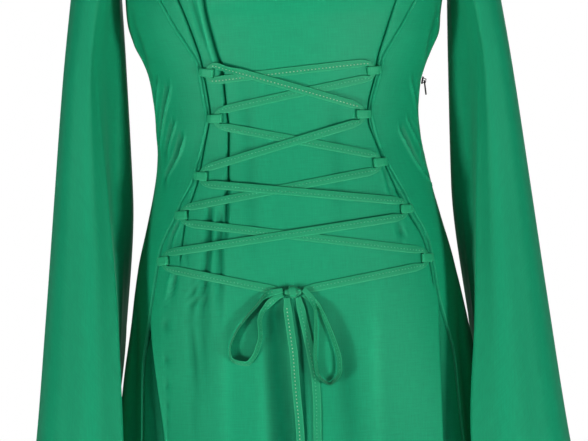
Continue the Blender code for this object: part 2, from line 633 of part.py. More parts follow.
def leave(frame, end, towards):
    """Ends of the short leg inside a loop: at the eye's middle and where the lace turns off, clear of the loop."""
    origin, run, eye = frame
    middle = origin + run * EYE_AT
    along = eye * end
    turn = 0.006
    for _ in range(4):
        way = unit(towards - (middle + along * turn))
        out = float(np.dot(way, unit(along)))
        cosine = math.sqrt(1.0 - out * out)
        clear = LACE_IN_EYE / 2 + GAP + 0.0006
        turn = LOOP_WIDTH / 2 + max((clear - corner * out) / cosine for corner in (0.0030, 0.0067))
        turn = min(turn, 0.0100)
    return middle + along * GAP / 2, middle + along * turn


def run_length(flat):
    return np.concatenate([[0.0], np.cumsum(np.linalg.norm(np.diff(flat, axis=0), axis=1))])


def eased(t):
    t = np.clip(t, 0.0, 1.0)
    return t * t * (3 - 2 * t)


def build_lace():
    """The crossing stretches, the two runs to the knot, the knot, the bow and the tails."""
    frames = {row[0]: loop_frame(row[1], row[2], row[3]) for row in LOOPS}
    for name, one, end_one, two, end_two, height in STRETCHES:
        eyes = [frames[loop][0] + frames[loop][1] * EYE_AT for loop in (one, two)]
        first = leave(frames[one], end_one, eyes[1] + frames[two][2] * end_two * 0.006)
        last = leave(frames[two], end_two, eyes[0] + frames[one][2] * end_one * 0.006)
        path = rounded((first[0], first[1], last[1], last[0]), TURN_RADIUS)
        s = run_length(path)
        ends = np.minimum(s, s[-1] - s)
        rise = eased((ends - 0.0060) / 0.0090)
        heights = EYE_HEIGHT + (height - EYE_HEIGHT) * rise
        widths = LACE_IN_EYE + (LACE_WIDTH - LACE_IN_EYE) * eased((ends - 0.0115) / 0.012)
        lay_lace(name, path, heights, widths)
    for name, loop, end, x, z in KNOT_RUNS:
        inside, turn = leave(frames[loop], end, np.array((x, z)))
        path = rounded((inside, turn, (x, z)), TURN_RADIUS)
        s = run_length(path)
        heights = EYE_HEIGHT + (LOW - EYE_HEIGHT) * eased((s - 0.0060) / 0.0090)
        widths = LACE_IN_EYE + (LACE_WIDTH - LACE_IN_EYE) * eased((s - 0.0115) / 0.012)
        widths = widths - 0.0025 * eased((s - s[-1] + 0.012) / 0.012)
        lay_lace(name, path, heights, widths)
    for name, table in (("bow_right", BOW_RIGHT), ("bow_left", BOW_LEFT)):
        path = np.array(table)
        s = run_length(path)
        heights = 0.0061 - 0.0031 * eased((s - s[-1] + 0.030) / 0.024)
        ends = np.minimum(s, s[-1] - s)
        tilt = math.radians(50) * eased((ends - 0.010) / 0.022)
        widths = 0.0050 + (LACE_WIDTH - 0.0050) * eased(ends / 0.020)
        lay_lace(name, path, heights, widths, tilt * (1 if name == "bow_right" else -1))
    for name, table in (("tail_right", TAIL_RIGHT), ("tail_left", TAIL_LEFT)):
        control = np.array(table)
        s = run_length(control)
        at = np.linspace(0.0, s[-1], 24)
        path = np.stack([smooth(at, s, control[:, 0]), smooth(at, s, control[:, 1])], -1)
        heights = LOW + 0.0006 * (1 - eased(at / 0.010)) + 0.0016 * eased((at - 0.140) / 0.080)
        widths = 0.0056 + (LACE_WIDTH - 0.0056) * eased(at / 0.012)
        lay_lace(name, path, heights, widths)
    build_knot()


def build_knot():
    """The knot: a rounded lump with a waist where the wrap crosses it."""
    mesh = bmesh.new()
    base, normal = above_front(np.array([KNOT_AT[0]]), np.array([KNOT_AT[1]]), np.array([KNOT_HALF[1] + 0.0004]))
    base, normal = base[0], normal[0]
    up = np.array([0.0, 0.0, 1.0]) - normal * normal[2]
    up = up / np.linalg.norm(up)
    side = np.cross(up, -normal)
    around, stacks = 16, 8
    rings = []
    for i in range(1, stacks):
        a = math.pi * i / stacks
        wrap = 1.0 + 0.10 * math.cos(4 * (a - math.pi / 2))
        row = []
        for j in range(around):
            b = 2 * math.pi * j / around
            c, s = math.cos(b), math.sin(b)
            c, s = math.copysign(abs(c) ** 0.75, c), math.copysign(abs(s) ** 0.75, s)
            r = math.sin(a) ** 0.7 * wrap / 1.1
            place = base - side * (math.cos(a) * KNOT_HALF[0])
            row.append(mesh.verts.new(place + normal * (r * c * KNOT_HALF[1]) + up * (r * s * KNOT_HALF[2])))
        rings.append(row)
    ends = [mesh.verts.new(base - side * KNOT_HALF[0]), mesh.verts.new(base + side * KNOT_HALF[0])]
    for one, two in zip(rings, rings[1:]):
        for j in range(around):
            mesh.faces.new((one[j], one[(j + 1) % around], two[(j + 1) % around], two[j]))
    for j in range(around):
        mesh.faces.new((ends[0], rings[0][(j + 1) % around], rings[0][j]))
        mesh.faces.new((ends[1], rings[-1][j], rings[-1][(j + 1) % around]))
    return finish("knot", mesh, LACE_GREEN, 0.6)


def build_slider(start, lean):
    """Slider body: a flat block with a bridge over it, whose slot holds the pull tab's crossbar."""
    deep, wide, long = ZIP_BASE
    half = wide / 2
    mesh = bmesh.new()
    arch = 0.0022
    hood = 0.0008
    reach = PIVOT_OUT + 0.0010
    outer_row = ((deep, -arch - hood / 2), (reach + hood, -arch + 0.0002), (reach + hood, arch - 0.0002),
                 (deep, arch + hood / 2))
    inner_row = ((deep, -arch + hood / 2), (reach, -arch + hood), (reach, arch - hood), (deep, arch - hood / 2))
    bridge = 0.0006
    verts = {}
    ys = (-half, -bridge, bridge, half)
    zs = (-long / 2, outer_row[0][1], inner_row[0][1], inner_row[3][1], outer_row[3][1], long / 2)
    for y in ys:
        for z in zs:
            verts[(0.0, y, z)] = mesh.verts.new((0.0, y, z))
            verts[(deep, y, z)] = mesh.verts.new((deep, y, z))
    for a, b in zip(ys, ys[1:]):
        for c, d in zip(zs, zs[1:]):
            mesh.faces.new((verts[(0.0, a, c)], verts[(0.0, a, d)], verts[(0.0, b, d)], verts[(0.0, b, c)]))
            foot = a == -bridge and (c, d) in ((zs[1], zs[2]), (zs[3], zs[4]))
            if not foot:
                mesh.faces.new((verts[(deep, a, c)], verts[(deep, b, c)], verts[(deep, b, d)], verts[(deep, a, d)]))
    for c, d in zip(zs, zs[1:]):
        for y in (-half, half):
            mesh.faces.new((verts[(0.0, y, c)], verts[(0.0, y, d)], verts[(deep, y, d)], verts[(deep, y, c)]))
    for a, b in zip(ys, ys[1:]):
        for z in (zs[0], zs[-1]):
            mesh.faces.new((verts[(0.0, a, z)], verts[(0.0, b, z)], verts[(deep, b, z)], verts[(deep, a, z)]))
    rows = []
    for y in (-bridge, bridge):
        rows.append(([verts[(deep, y, zs[1])]] + [mesh.verts.new((p[0], y, p[1])) for p in outer_row[1:3]]
                     + [verts[(deep, y, zs[4])]],
                     [verts[(deep, y, zs[2])]] + [mesh.verts.new((p[0], y, p[1])) for p in inner_row[1:3]]
                     + [verts[(deep, y, zs[3])]]))
    (oa, ia), (ob, ib) = rows
    for k in range(3):
        mesh.faces.new((oa[k], oa[k + 1], ob[k + 1], ob[k]))
        mesh.faces.new((ia[k + 1], ia[k], ib[k], ib[k + 1]))
        mesh.faces.new((oa[k + 1], oa[k], ia[k], ia[k + 1]))
        mesh.faces.new((ob[k], ob[k + 1], ib[k + 1], ib[k]))
    slider = finish("zip_slider", mesh, STEEL, 0.35, 1.0)
    slider.location = tuple(start)
    slider.rotation_euler = (0.0, lean, 0.0)


def build_tab(pivot):
    """Pull tab: a flat plate with a window whose upper bar lies in the slider's bridge."""
    mesh = bmesh.new()
    thick = TAB_THICK / 2
    bar = 0.0006
    rail = TAB_WIDTH / 2
    window = 0.0011
    foot = 0.0037
    outline = [(-rail, bar), (rail, bar), (rail, -foot), (rail, -TAB_LENGTH + 0.0012), (rail - 0.0012, -TAB_LENGTH),
               (-rail + 0.0012, -TAB_LENGTH), (-rail, -TAB_LENGTH + 0.0012), (-rail, -foot)]
    hole = [(-window, -bar), (window, -bar), (window, -foot + 0.0004), (window * 0.6, -foot), (window * 0.3, -foot),
            (-window * 0.3, -foot), (-window * 0.6, -foot), (-window, -foot + 0.0004)]
    faces = []
    for x in (-thick, thick):
        o = [mesh.verts.new((x * (0.86 if p[1] > 0 else 1.0), p[0], p[1])) for p in outline]
        h = [mesh.verts.new((x * (0.86 if p[1] > -0.001 else 1.0), p[0], p[1])) for p in hole]
        faces.append((o, h))
    (o0, h0), (o1, h1) = faces
    for k in range(8):
        m = (k + 1) % 8
        mesh.faces.new((o0[k], o0[m], o1[m], o1[k]))
        mesh.faces.new((h0[m], h0[k], h1[k], h1[m]))
        mesh.faces.new((o0[m], o0[k], h0[k], h0[m]))
        mesh.faces.new((o1[k], o1[m], h1[m], h1[k]))
    tab = finish("zip_pull", mesh, STEEL, 0.35, 1.0)
    tab.location = tuple(pivot)
    tab.rotation_euler = (0.0, -math.radians(TAB_LEAN), 0.0)


def build_zip():
    """Slider on the side seam at the wearer's left and its hanging pull tab."""
    level = np.array([ZIP_LEVEL])
    bearing = np.array([math.pi / 2])
    point = torso(bearing, level)[0]
    normal = torso_normal(bearing, level)[0]
    start = point + normal * (GAP + SLIDER_LIFT)
    build_slider(start, math.atan2(-normal[2], normal[0]))
    build_tab(start + normal * PIVOT_OUT)


def main():
    for obj in list(bpy.data.objects):
        bpy.data.objects.remove(obj, do_unlink=True)
    ring, facing = build_body()
    build_sleeve("sleeve_left", ring, facing, 1)
    build_sleeve("sleeve_right", ring, facing, -1)
    for name, level, sign, slant in LOOPS:
        build_loop(name, level, sign, slant)
    build_lace()
    build_zip()


main()
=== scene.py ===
"""Medieval gown with trumpet sleeves, a laced front and a side zip, dressed over its frame of solids.

Metres. The origin is midway between the shoulders at the foot of the neck, +Z up, the front faces -Y and the
wearer's left is +X. Every panel is one cloth surface with its creases, laid on the space of its solid.
"""

import json
import logging
import math
from dataclasses import dataclass
from enum import Enum

import bpy
import numpy as np
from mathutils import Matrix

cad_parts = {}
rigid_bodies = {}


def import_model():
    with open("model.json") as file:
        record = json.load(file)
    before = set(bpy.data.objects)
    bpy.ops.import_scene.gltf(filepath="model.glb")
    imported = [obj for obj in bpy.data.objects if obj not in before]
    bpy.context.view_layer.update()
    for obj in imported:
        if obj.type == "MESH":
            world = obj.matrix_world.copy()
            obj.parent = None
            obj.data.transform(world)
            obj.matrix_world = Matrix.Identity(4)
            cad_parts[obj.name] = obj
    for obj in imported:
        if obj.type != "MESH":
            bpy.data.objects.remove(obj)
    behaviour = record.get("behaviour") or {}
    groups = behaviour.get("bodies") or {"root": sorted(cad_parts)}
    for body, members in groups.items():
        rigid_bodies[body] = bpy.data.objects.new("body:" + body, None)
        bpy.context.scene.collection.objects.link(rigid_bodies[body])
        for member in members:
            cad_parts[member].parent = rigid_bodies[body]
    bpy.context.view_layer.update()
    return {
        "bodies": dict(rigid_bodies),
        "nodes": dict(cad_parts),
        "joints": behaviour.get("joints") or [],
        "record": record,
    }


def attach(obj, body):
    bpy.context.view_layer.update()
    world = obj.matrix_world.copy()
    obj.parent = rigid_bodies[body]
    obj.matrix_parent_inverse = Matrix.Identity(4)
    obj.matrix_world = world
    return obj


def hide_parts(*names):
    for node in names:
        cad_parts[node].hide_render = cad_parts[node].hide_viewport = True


LOG = logging.getLogger("gown")
Grid = np.ndarray

# level, half-width, offset of the middle, depth of the front, depth of the back
BODY = (
    (0.0, 0.185, 0.0, 0.125, 0.098), (-0.04, 0.181, 0.0, 0.125, 0.098), (-0.1, 0.17, 0.0, 0.125, 0.098),
    (-0.15, 0.159, 0.0, 0.125, 0.098), (-0.195, 0.1515, 0.0, 0.125, 0.098),
    (-0.225, 0.1515, 0.0, 0.125, 0.097), (-0.272, 0.1506, -0.0005, 0.116, 0.091),
    (-0.29, 0.1487, -0.0012, 0.106, 0.088), (-0.308, 0.1451, 0.0001, 0.099, 0.085),
    (-0.325, 0.1372, 0.0, 0.094, 0.082), (-0.338, 0.132, -0.0006, 0.091, 0.08),
    (-0.355, 0.1277, -0.0018, 0.088, 0.078), (-0.385, 0.1251, -0.0022, 0.0855, 0.076),
    (-0.405, 0.1253, -0.0012, 0.085, 0.077), (-0.425, 0.1273, 0.0, 0.086, 0.08),
    (-0.45, 0.132, 0.0005, 0.088, 0.087), (-0.481, 0.1394, 0.0005, 0.0905, 0.097),
    (-0.52, 0.1494, 0.0005, 0.093, 0.109), (-0.58, 0.1603, 0.0015, 0.097, 0.122),
    (-0.62, 0.1672, 0.001, 0.101, 0.128), (-0.69, 0.176, 0.0, 0.112, 0.138),
    (-0.8, 0.199, 0.0, 0.136, 0.158), (-0.9, 0.224, 0.0, 0.16, 0.18), (-1.1, 0.275, 0.0, 0.21, 0.228),
    (-1.43, 0.36, 0.0, 0.29, 0.305),
)
# level, edge of the front panel at the wearer's right, the same at the wearer's left
FRONT_EDGE = (
    (0.0, 0.168, 0.168), (-0.03, 0.16, 0.16), (-0.06, 0.152, 0.152), (-0.1, 0.144, 0.144),
    (-0.14, 0.1415, 0.1415), (-0.17, 0.143, 0.143), (-0.195, 0.146, 0.146), (-0.235, 0.134, 0.1385),
    (-0.27, 0.1166, 0.1262), (-0.297, 0.1027, 0.111), (-0.316, 0.0913, 0.099), (-0.333, 0.0825, 0.0889),
    (-0.3475, 0.0805, 0.0852), (-0.365, 0.0783, 0.0797), (-0.382, 0.0757, 0.0757), (-0.4, 0.0795, 0.0785),
    (-0.418, 0.085, 0.0838), (-0.4417, 0.093, 0.0955), (-0.4585, 0.1031, 0.1043), (-0.4736, 0.1101, 0.111),
    (-0.503, 0.1252, 0.125), (-0.5206, 0.129, 0.1285), (-0.5564, 0.1361, 0.1332), (-0.5816, 0.1409, 0.1389),
    (-0.6125, 0.1461, 0.1453), (-0.6825, 0.1502, 0.1485), (-0.9, 0.185, 0.185), (-1.43, 0.276, 0.276),
)
# level, edge of the back panel as a share of the half-width
BACK_EDGE = (
    (0.0, 0.9081), (-0.03, 0.877), (-0.06, 0.846), (-0.1, 0.835), (-0.14, 0.875), (-0.17, 0.93),
    (-0.195, 1.0),
)
# bearing of a flute of the skirt and its width in degrees, share of the depth
FLUTES = (
    (-6, 13, -0.9), (13, 11, 0.9), (-27, 12, 0.9), (33, 11, -0.8), (-50, 12, -0.9), (52, 12, 1.0),
    (-74, 13, 0.8), (76, 12, -0.8), (-98, 12, -0.9), (100, 13, 0.9), (-122, 13, 1.0), (124, 12, -0.9),
    (-146, 12, -0.8), (148, 12, 0.9), (-168, 12, 0.9), (171, 12, -0.7),
)
FLUTE_DEPTH = (
    (0.0, 0.0), (-0.56, 0.0), (-0.69, 0.0035), (-0.8, 0.006), (-0.9, 0.011), (-1.1, 0.024), (-1.43, 0.04),
)
# level, then x and y of ten places round a sleeve, from the outer side over the front to the body and back
SLEEVE = (
    (-0.24, (0.2, 0.004), (0.193, -0.033), (0.177, -0.045), (0.163, -0.036), (0.1575, -0.014),
     (0.1552, 0.01), (0.1572, 0.034), (0.164, 0.051), (0.178, 0.055), (0.194, 0.04)),
    (-0.335, (0.213, 0.004), (0.206, -0.037), (0.188, -0.054), (0.179, -0.034), (0.165, -0.01),
     (0.154, 0.012), (0.155, 0.036), (0.163, 0.055), (0.183, 0.062), (0.205, 0.046)),
    (-0.45, (0.226, 0.004), (0.217, -0.044), (0.195, -0.065), (0.1735, -0.042), (0.169, -0.01),
     (0.1532, 0.012), (0.154, 0.044), (0.166, 0.069), (0.191, 0.077), (0.216, 0.052)),
    (-0.57, (0.239, -0.002), (0.228, -0.06), (0.2, -0.086), (0.1665, -0.064), (0.169, -0.024),
     (0.165, 0.014), (0.1625, 0.052), (0.168, 0.082), (0.198, 0.092), (0.228, 0.06)),
    (-0.69, (0.253, -0.01), (0.24, -0.08), (0.206, -0.11), (0.157, -0.09), (0.18, -0.042), (0.188, 0.002),
     (0.184, 0.052), (0.184, 0.094), (0.214, 0.11), (0.243, 0.07)),
    (-0.92, (0.292, -0.02), (0.27, -0.122), (0.218, -0.158), (0.158, -0.15), (0.218, -0.075),
     (0.246, -0.01), (0.242, 0.06), (0.22, 0.12), (0.246, 0.138), (0.276, 0.084)),
)
# level, how far the front fold's inner edge of the wearer's right sleeve stands further out
RIGHT_FOLD = (
    (-0.24, 0.0), (-0.45, 0.0), (-0.57, 0.001), (-0.69, 0.009), (-0.92, 0.016),
)
# share of the round from the outer side, width as a share, height, share of the height at the top
DRAPES = (
    (0.36, 0.026, -0.0018, 0.4), (0.44, 0.022, 0.0022, 0.4), (0.17, 0.03, -0.0022, 0.2),
    (0.235, 0.02, 0.0013, 0.3), (0.09, 0.03, 0.0014, 0.1), (0.62, 0.03, -0.003, 0.2),
    (0.72, 0.028, 0.002, 0.1), (0.8, 0.03, -0.0026, 0.1), (0.9, 0.03, 0.0018, 0.05),
)
SHOULDER_Z = -0.225     # from this level up the chest and back round over to the shoulder seam
SHOULDER_TOP = -0.008
SHOULDER_DROP = 0.46
NECK_X = 0.100
NECK_TAPER = 0.006
UNDERARM = -0.195
FRONT_NECK = -0.150
BACK_NECK = -0.0717
HEM = -1.430
SLEEVE_HEM = -0.835
SLEEVE_HEM_TILT = 0.055
SEAM_GAP = 0.0003
UPPER_ROWS = 7      # steps of an armhole's edge above the underarm, in front and behind
UNDER_STEPS = 5     # steps of it under the arm

# level and side of each loop (-1 wearer's right), slant in degrees
LOOPS = {
    "loop_right_1": (-0.3383, -1, -8.0), "loop_right_2": (-0.383, -1, 0.0),
    "loop_right_3": (-0.4357, -1, -6.0), "loop_right_4": (-0.4726, -1, 0.0),
    "loop_right_5": (-0.5154, -1, 4.0), "loop_left_1": (-0.3423, 1, -4.0), "loop_left_2": (-0.3841, 1, 0.0),
    "loop_left_3": (-0.4295, 1, -4.0), "loop_left_4": (-0.4747, 1, 0.0), "loop_left_5": (-0.5213, 1, 0.0),
}
LOW = 0.00100     # height of the lower strand of the lace over the panel
HIGH = 0.00255    # height of the upper strand
# name, first loop, its end (1 top, -1 foot), second loop, its end, height over the panel
STRETCHES = (
    ("lace_bar", "loop_right_1", -1, "loop_left_1", 1, LOW),
    ("lace_upper_1", "loop_right_1", 1, "loop_left_2", 1, HIGH),
    ("lace_upper_2", "loop_left_2", -1, "loop_right_3", 1, HIGH),
    ("lace_upper_3", "loop_right_3", -1, "loop_left_4", 1, HIGH),
    ("lace_upper_4", "loop_left_4", -1, "loop_right_5", 1, HIGH),
    ("lace_lower_1", "loop_left_1", -1, "loop_right_2", 1, LOW),
    ("lace_lower_2", "loop_right_2", -1, "loop_left_3", 1, LOW),
    ("lace_lower_3", "loop_left_3", -1, "loop_right_4", 1, LOW),
    ("lace_lower_4", "loop_right_4", -1, "loop_left_5", 1, LOW),
)
# name, loop, its end, x and level where the stretch meets the knot
KNOT_RUNS = (
    ("lace_run_right", "loop_right_5", -1, -0.0125, -0.547),
    ("lace_run_left", "loop_left_5", -1, 0.0068, -0.5462),
)
KNOT_AT = (-0.0029, -0.5478)
# length, width and height of a stitch
LACE_STITCH = (0.0014, 0.00100, 0.00034)
SEAM_STITCH = (0.0019, 0.00045, 0.00012)
HEM_STITCH = (0.0026, 0.00060, 0.00022)
# pieces of the lace whose stitches catch the light: they take the light thread as painted highlight, the rest
# an unlit copy of the thread
BRIGHT_ROWS = ("lace_bar", "lace_upper_1", "tail_right")
# x and level along each free piece of the lace
BOW_RIGHT = (
    (-0.0122, -0.5462), (-0.02, -0.5474), (-0.0273, -0.55), (-0.0361, -0.5595), (-0.0478, -0.5722),
    (-0.0573, -0.5858), (-0.0624, -0.6006), (-0.0613, -0.6081), (-0.0553, -0.612), (-0.0481, -0.6131),
    (-0.0419, -0.6078), (-0.0376, -0.5991), (-0.0343, -0.5866), (-0.0345, -0.5745), (-0.0326, -0.5668),
    (-0.0277, -0.5602), (-0.019, -0.553), (-0.0124, -0.55),
)
BOW_LEFT = (
    (0.0066, -0.546), (0.0105, -0.55), (0.015, -0.5584), (0.0167, -0.5687), (0.0163, -0.5886),
    (0.0151, -0.609), (0.0164, -0.6245), (0.0222, -0.6325), (0.0272, -0.635), (0.0335, -0.6311),
    (0.0374, -0.6229), (0.0373, -0.6132), (0.0338, -0.5977), (0.0275, -0.5793), (0.0207, -0.5636),
    (0.014, -0.556), (0.0066, -0.5504),
)
TAIL_RIGHT = (
    (-0.0089, -0.5532), (-0.0086, -0.5624), (-0.0066, -0.585), (-0.0044, -0.6082), (-0.0038, -0.6287),
    (-0.0028, -0.6491), (-0.0016, -0.6695), (-0.0012, -0.6861), (-0.002, -0.72), (-0.005, -0.76),
    (-0.009, -0.8), (-0.011, -0.845),
)
TAIL_LEFT = (
    (0.0016, -0.5532), (0.0048, -0.5682), (0.0085, -0.5883), (0.012, -0.6089), (0.0148, -0.6294),
    (0.0154, -0.6498), (0.015, -0.6687), (0.0146, -0.6867), (0.015, -0.72), (0.017, -0.76), (0.02, -0.8),
    (0.0215, -0.825),
)


def smooth(x: Grid, xs: Grid, ys: Grid) -> Grid:
    """Monotone cubic through a table: Hermite cubics whose slopes are the harmonic means of the chords.

    Args:
        x: places asked for.
        xs: places of the table, falling or rising.
        ys: values of the table.

    Returns:
        The values at x, held level beyond the table's ends.
    """
    x = np.asarray(x, float)
    order = np.argsort(xs)
    xs, ys = np.asarray(xs, float)[order], np.asarray(ys, float)[order]
    h = np.diff(xs)
    d = np.diff(ys) / h
    m = np.zeros_like(ys)
    w1, w2 = 2 * h[1:] + h[:-1], h[1:] + 2 * h[:-1]
    same = d[:-1] * d[1:] > 0
    low, high = np.where(same, d[:-1], 1.0), np.where(same, d[1:], 1.0)
    m[1:-1] = np.where(same, (w1 + w2) / (w1 / low + w2 / high), 0.0)
    m[0], m[-1] = d[0], d[-1]
    x = np.clip(x, xs[0], xs[-1])
    k = np.clip(np.searchsorted(xs, x) - 1, 0, len(h) - 1)
    t = (x - xs[k]) / h[k]
    return ((2 * t**3 - 3 * t**2 + 1) * ys[k] + (t**3 - 2 * t**2 + t) * h[k] * m[k]
            + (3 * t**2 - 2 * t**3) * ys[k + 1] + (t**3 - t**2) * h[k] * m[k + 1])


def table(rows: tuple, at: Grid, index: int = 1) -> Grid:
    """Value of a table's column at given levels, by the monotone cubic."""
    return smooth(at, [row[0] for row in rows], [row[index] for row in rows])


def traced(line: tuple | list, at: Grid) -> Grid:
    """Value x of a line of (x, level) pairs at given levels, by the monotone cubic."""
    return smooth(at, [p[1] for p in line], [p[0] for p in line])


def unit(v: Grid) -> Grid:
    """Vectors of length one along the last axis."""
    return v / np.maximum(np.linalg.norm(v, axis=-1, keepdims=True), 1e-12)


def bell(distance: Grid, width: float) -> Grid:
    """Bell curve: exp of minus the square of distance over width."""
    return np.exp(-(distance / width) ** 2)


def eased(t: Grid) -> Grid:
    """Smooth step from 0 to 1: three t squared less two t cubed."""
    t = np.clip(t, 0.0, 1.0)
    return t * t * (3 - 2 * t)


def signed_power(value: Grid, power: float) -> Grid:
    """Size of a value raised to a power, with the value's sign."""
    return np.sign(value) * np.abs(value) ** power


def crowded(t: Grid, crowd: float) -> Grid:
    """Shares of a stretch drawn towards its ends: t - crowd sin(2 pi t) / (2 pi)."""
    return t - crowd * np.sin(2 * math.pi * t) / (2 * math.pi)


def way_round(points: Grid) -> Grid:
    """Direction of a closed row of points at each of them."""
    return unit(np.roll(points, -1, axis=0) - np.roll(points, 1, axis=0))


def run_length(points: Grid) -> Grid:
    """Distance walked along a row of points, from 0 at the first."""
    return np.concatenate([[0.0], np.cumsum(np.linalg.norm(np.diff(points, axis=0), axis=1))])


def resampled(points: Grid, step: float) -> Grid:
    """The same line through new points about one step apart, by cubics on the distance walked."""
    s = run_length(points)
    at = np.linspace(0.0, s[-1], max(8, int(round(s[-1] / step)) + 1))
    return np.stack([smooth(at, s, points[:, k]) for k in range(points.shape[1])], -1)


class Torso:
    """The body's cloth before its creases: flattened ovals stacked by level, closing at the shoulders."""

    @staticmethod
    def flutes(bearing: Grid, level: Grid) -> Grid:
        """Swing of the skirt: a sum of bell curves round the body, deeper towards the hem."""
        out = np.zeros(np.broadcast(bearing, level).shape)
        for at, width, share in FLUTES:
            away = (np.degrees(bearing) - at + 180.0) % 360.0 - 180.0
            out = out + share * bell(away, width)
        return out * table(FLUTE_DEPTH, level)

    @classmethod
    def point(cls, bearing: Grid, level: Grid) -> Grid:
        """Point of the cloth: an oval of the level's half-width and depth, tilted over above the chest.

        Args:
            bearing: angle from the front, positive to the wearer's left.
            level: nominal height, which is the real one up to the chest.

        Returns:
            Points with a last axis of three.
        """
        bearing, level = np.broadcast_arrays(np.asarray(bearing, float), np.asarray(level, float))
        half, middle = table(BODY, level), table(BODY, level, 2)
        sine, cosine = np.sin(bearing), np.cos(bearing)
        depth = np.where(cosine > 0, table(BODY, level, 3), table(BODY, level, 4))
        x = half * sine
        rise = np.clip((level - SHOULDER_Z) / (0.0 - SHOULDER_Z), 0.0, 1.0)
        top = SHOULDER_TOP - SHOULDER_DROP * np.maximum(np.abs(x) - NECK_X, 0.0)
        z = np.where(level > SHOULDER_Z, SHOULDER_Z + (top - SHOULDER_Z) * rise, level)
        y = -depth * cosine * np.sqrt(1.0 - rise**2)
        swing = unit(np.stack([depth * sine, -half * cosine, np.zeros_like(x)], -1))
        return np.stack([x + middle, y, z], -1) + cls.flutes(bearing, level)[..., None] * swing

    @classmethod
    def normal(cls, bearing: Grid, level: Grid) -> Grid:
        """Outward normal: the cross product of small steps round the body and up it."""
        step = 1e-3
        bearing, level = np.broadcast_arrays(np.asarray(bearing, float), np.asarray(level, float))
        high, low = np.minimum(level + step, -1e-6), np.minimum(level, -1e-6) - step
        across = cls.point(bearing + step, level) - cls.point(bearing - step, level)
        along = cls.point(bearing, high) - cls.point(bearing, low)
        slope = np.sign(np.sin(bearing)) * SHOULDER_DROP
        flat = np.stack([slope, np.zeros_like(level), np.ones_like(level)], -1)
        return np.where((level > -1e-4)[..., None], unit(flat), unit(np.cross(across, along)))

    @staticmethod
    def bearing_of(x: Grid, level: Grid) -> Grid:
        """Bearing of a place on the front given by x: the arcsine of x over the half-width."""
        sine = (np.asarray(x) - table(BODY, level, 2)) / table(BODY, level)
        return np.arcsin(np.clip(sine, -0.9995, 0.9995))

    @staticmethod
    def pace(bearing: Grid, level: Grid) -> Grid:
        """Metres walked round the oval for each radian of bearing."""
        depth = np.where(np.cos(bearing) > 0, table(BODY, level, 3), table(BODY, level, 4))
        return np.sqrt((table(BODY, level) * np.cos(bearing)) ** 2 + (depth * np.sin(bearing)) ** 2)

    @classmethod
    def over_front(cls, x: Grid, level: Grid, height: Grid) -> tuple[Grid, Grid]:
        """Point at a height over the uncreased front, with the normal there."""
        bearing = cls.bearing_of(x, level)
        normal = cls.normal(bearing, level)
        return cls.point(bearing, level) + np.asarray(height)[..., None] * normal, normal

    @staticmethod
    def edges(level: Grid) -> tuple[Grid, Grid, Grid]:
        """Bearings of the front panel's two edges and of the back panel's edge."""
        half, middle = table(BODY, level), table(BODY, level, 2)
        right = np.arcsin(np.clip((table(FRONT_EDGE, level, 1) + middle) / half, -1, 1))
        left = np.arcsin(np.clip((table(FRONT_EDGE, level, 2) - middle) / half, -1, 1))
        return right, left, np.arcsin(np.clip(table(BACK_EDGE, level), 0.0, 1.0))


class Fold(Enum):
    """How a crease rises or sinks on each side of its line."""
    SOFT = "soft"
    SHARP = "sharp"
    LEDGE = "ledge"


LEDGE_LIP = 0.12    # height of the lip on the near side of a ledge, as a share of its step


@dataclass(frozen=True)
class Crease:
    """One crease of a body panel.

    Depth is negative for a trough, width its half-breadth, line its x and level from the top down, and fade
    the lengths over which it dies away at its top and foot. A ledge is steep at its line and dies away over
    reach, towards the wearer's left for side 1.
    """
    fold: Fold
    depth: float
    width: float
    line: tuple
    fade: tuple = (0.015, 0.015)
    side: int = 0
    reach: float = 0.008

    def height(self, bearing: Grid, level: Grid, behind: bool = False) -> Grid:
        """Height over the cloth at each place.

        With d the distance across and w the width it is depth times exp(-(d/w)^2) if soft and exp(-|d|/w) if
        sharp. A ledge rises as 1 - exp(-d/w) on its side and sinks again as exp(-d/reach).
        """
        levels = [p[1] for p in self.line]
        top, foot = max(levels), min(levels)
        over, under = self.fade
        rows = level[:, 0]
        keep = (rows < top + over) & (rows > foot - under)
        out = np.zeros(np.broadcast(bearing, level).shape)
        if not keep.any():
            return out
        z = level[keep]
        x = traced(self.line, z)
        at = Torso.bearing_of(x, z)
        way = (math.pi - at if behind else at)
        d = (bearing[keep] - way) * Torso.pace(way, z) * (-1 if behind else 1)
        share = eased((top + over - z) / (2 * over)) * eased((z - foot + under) / (2 * under))
        if self.fold is Fold.SOFT:
            shape = bell(d, self.width)
        elif self.fold is Fold.SHARP:
            shape = np.exp(-np.abs(d) / self.width)
        else:
            s = d * self.side
            beyond, short = np.maximum(s, 0), np.abs(s)
            step = np.exp(-beyond / self.reach) * (1 - np.exp(-beyond / self.width))
            lip = np.exp(-short / (5 * self.width)) * (1 - np.exp(-short / self.width))
            shape = np.where(s > 0, step, -LEDGE_LIP * lip)
        out[keep] = self.depth * share * shape
        return out


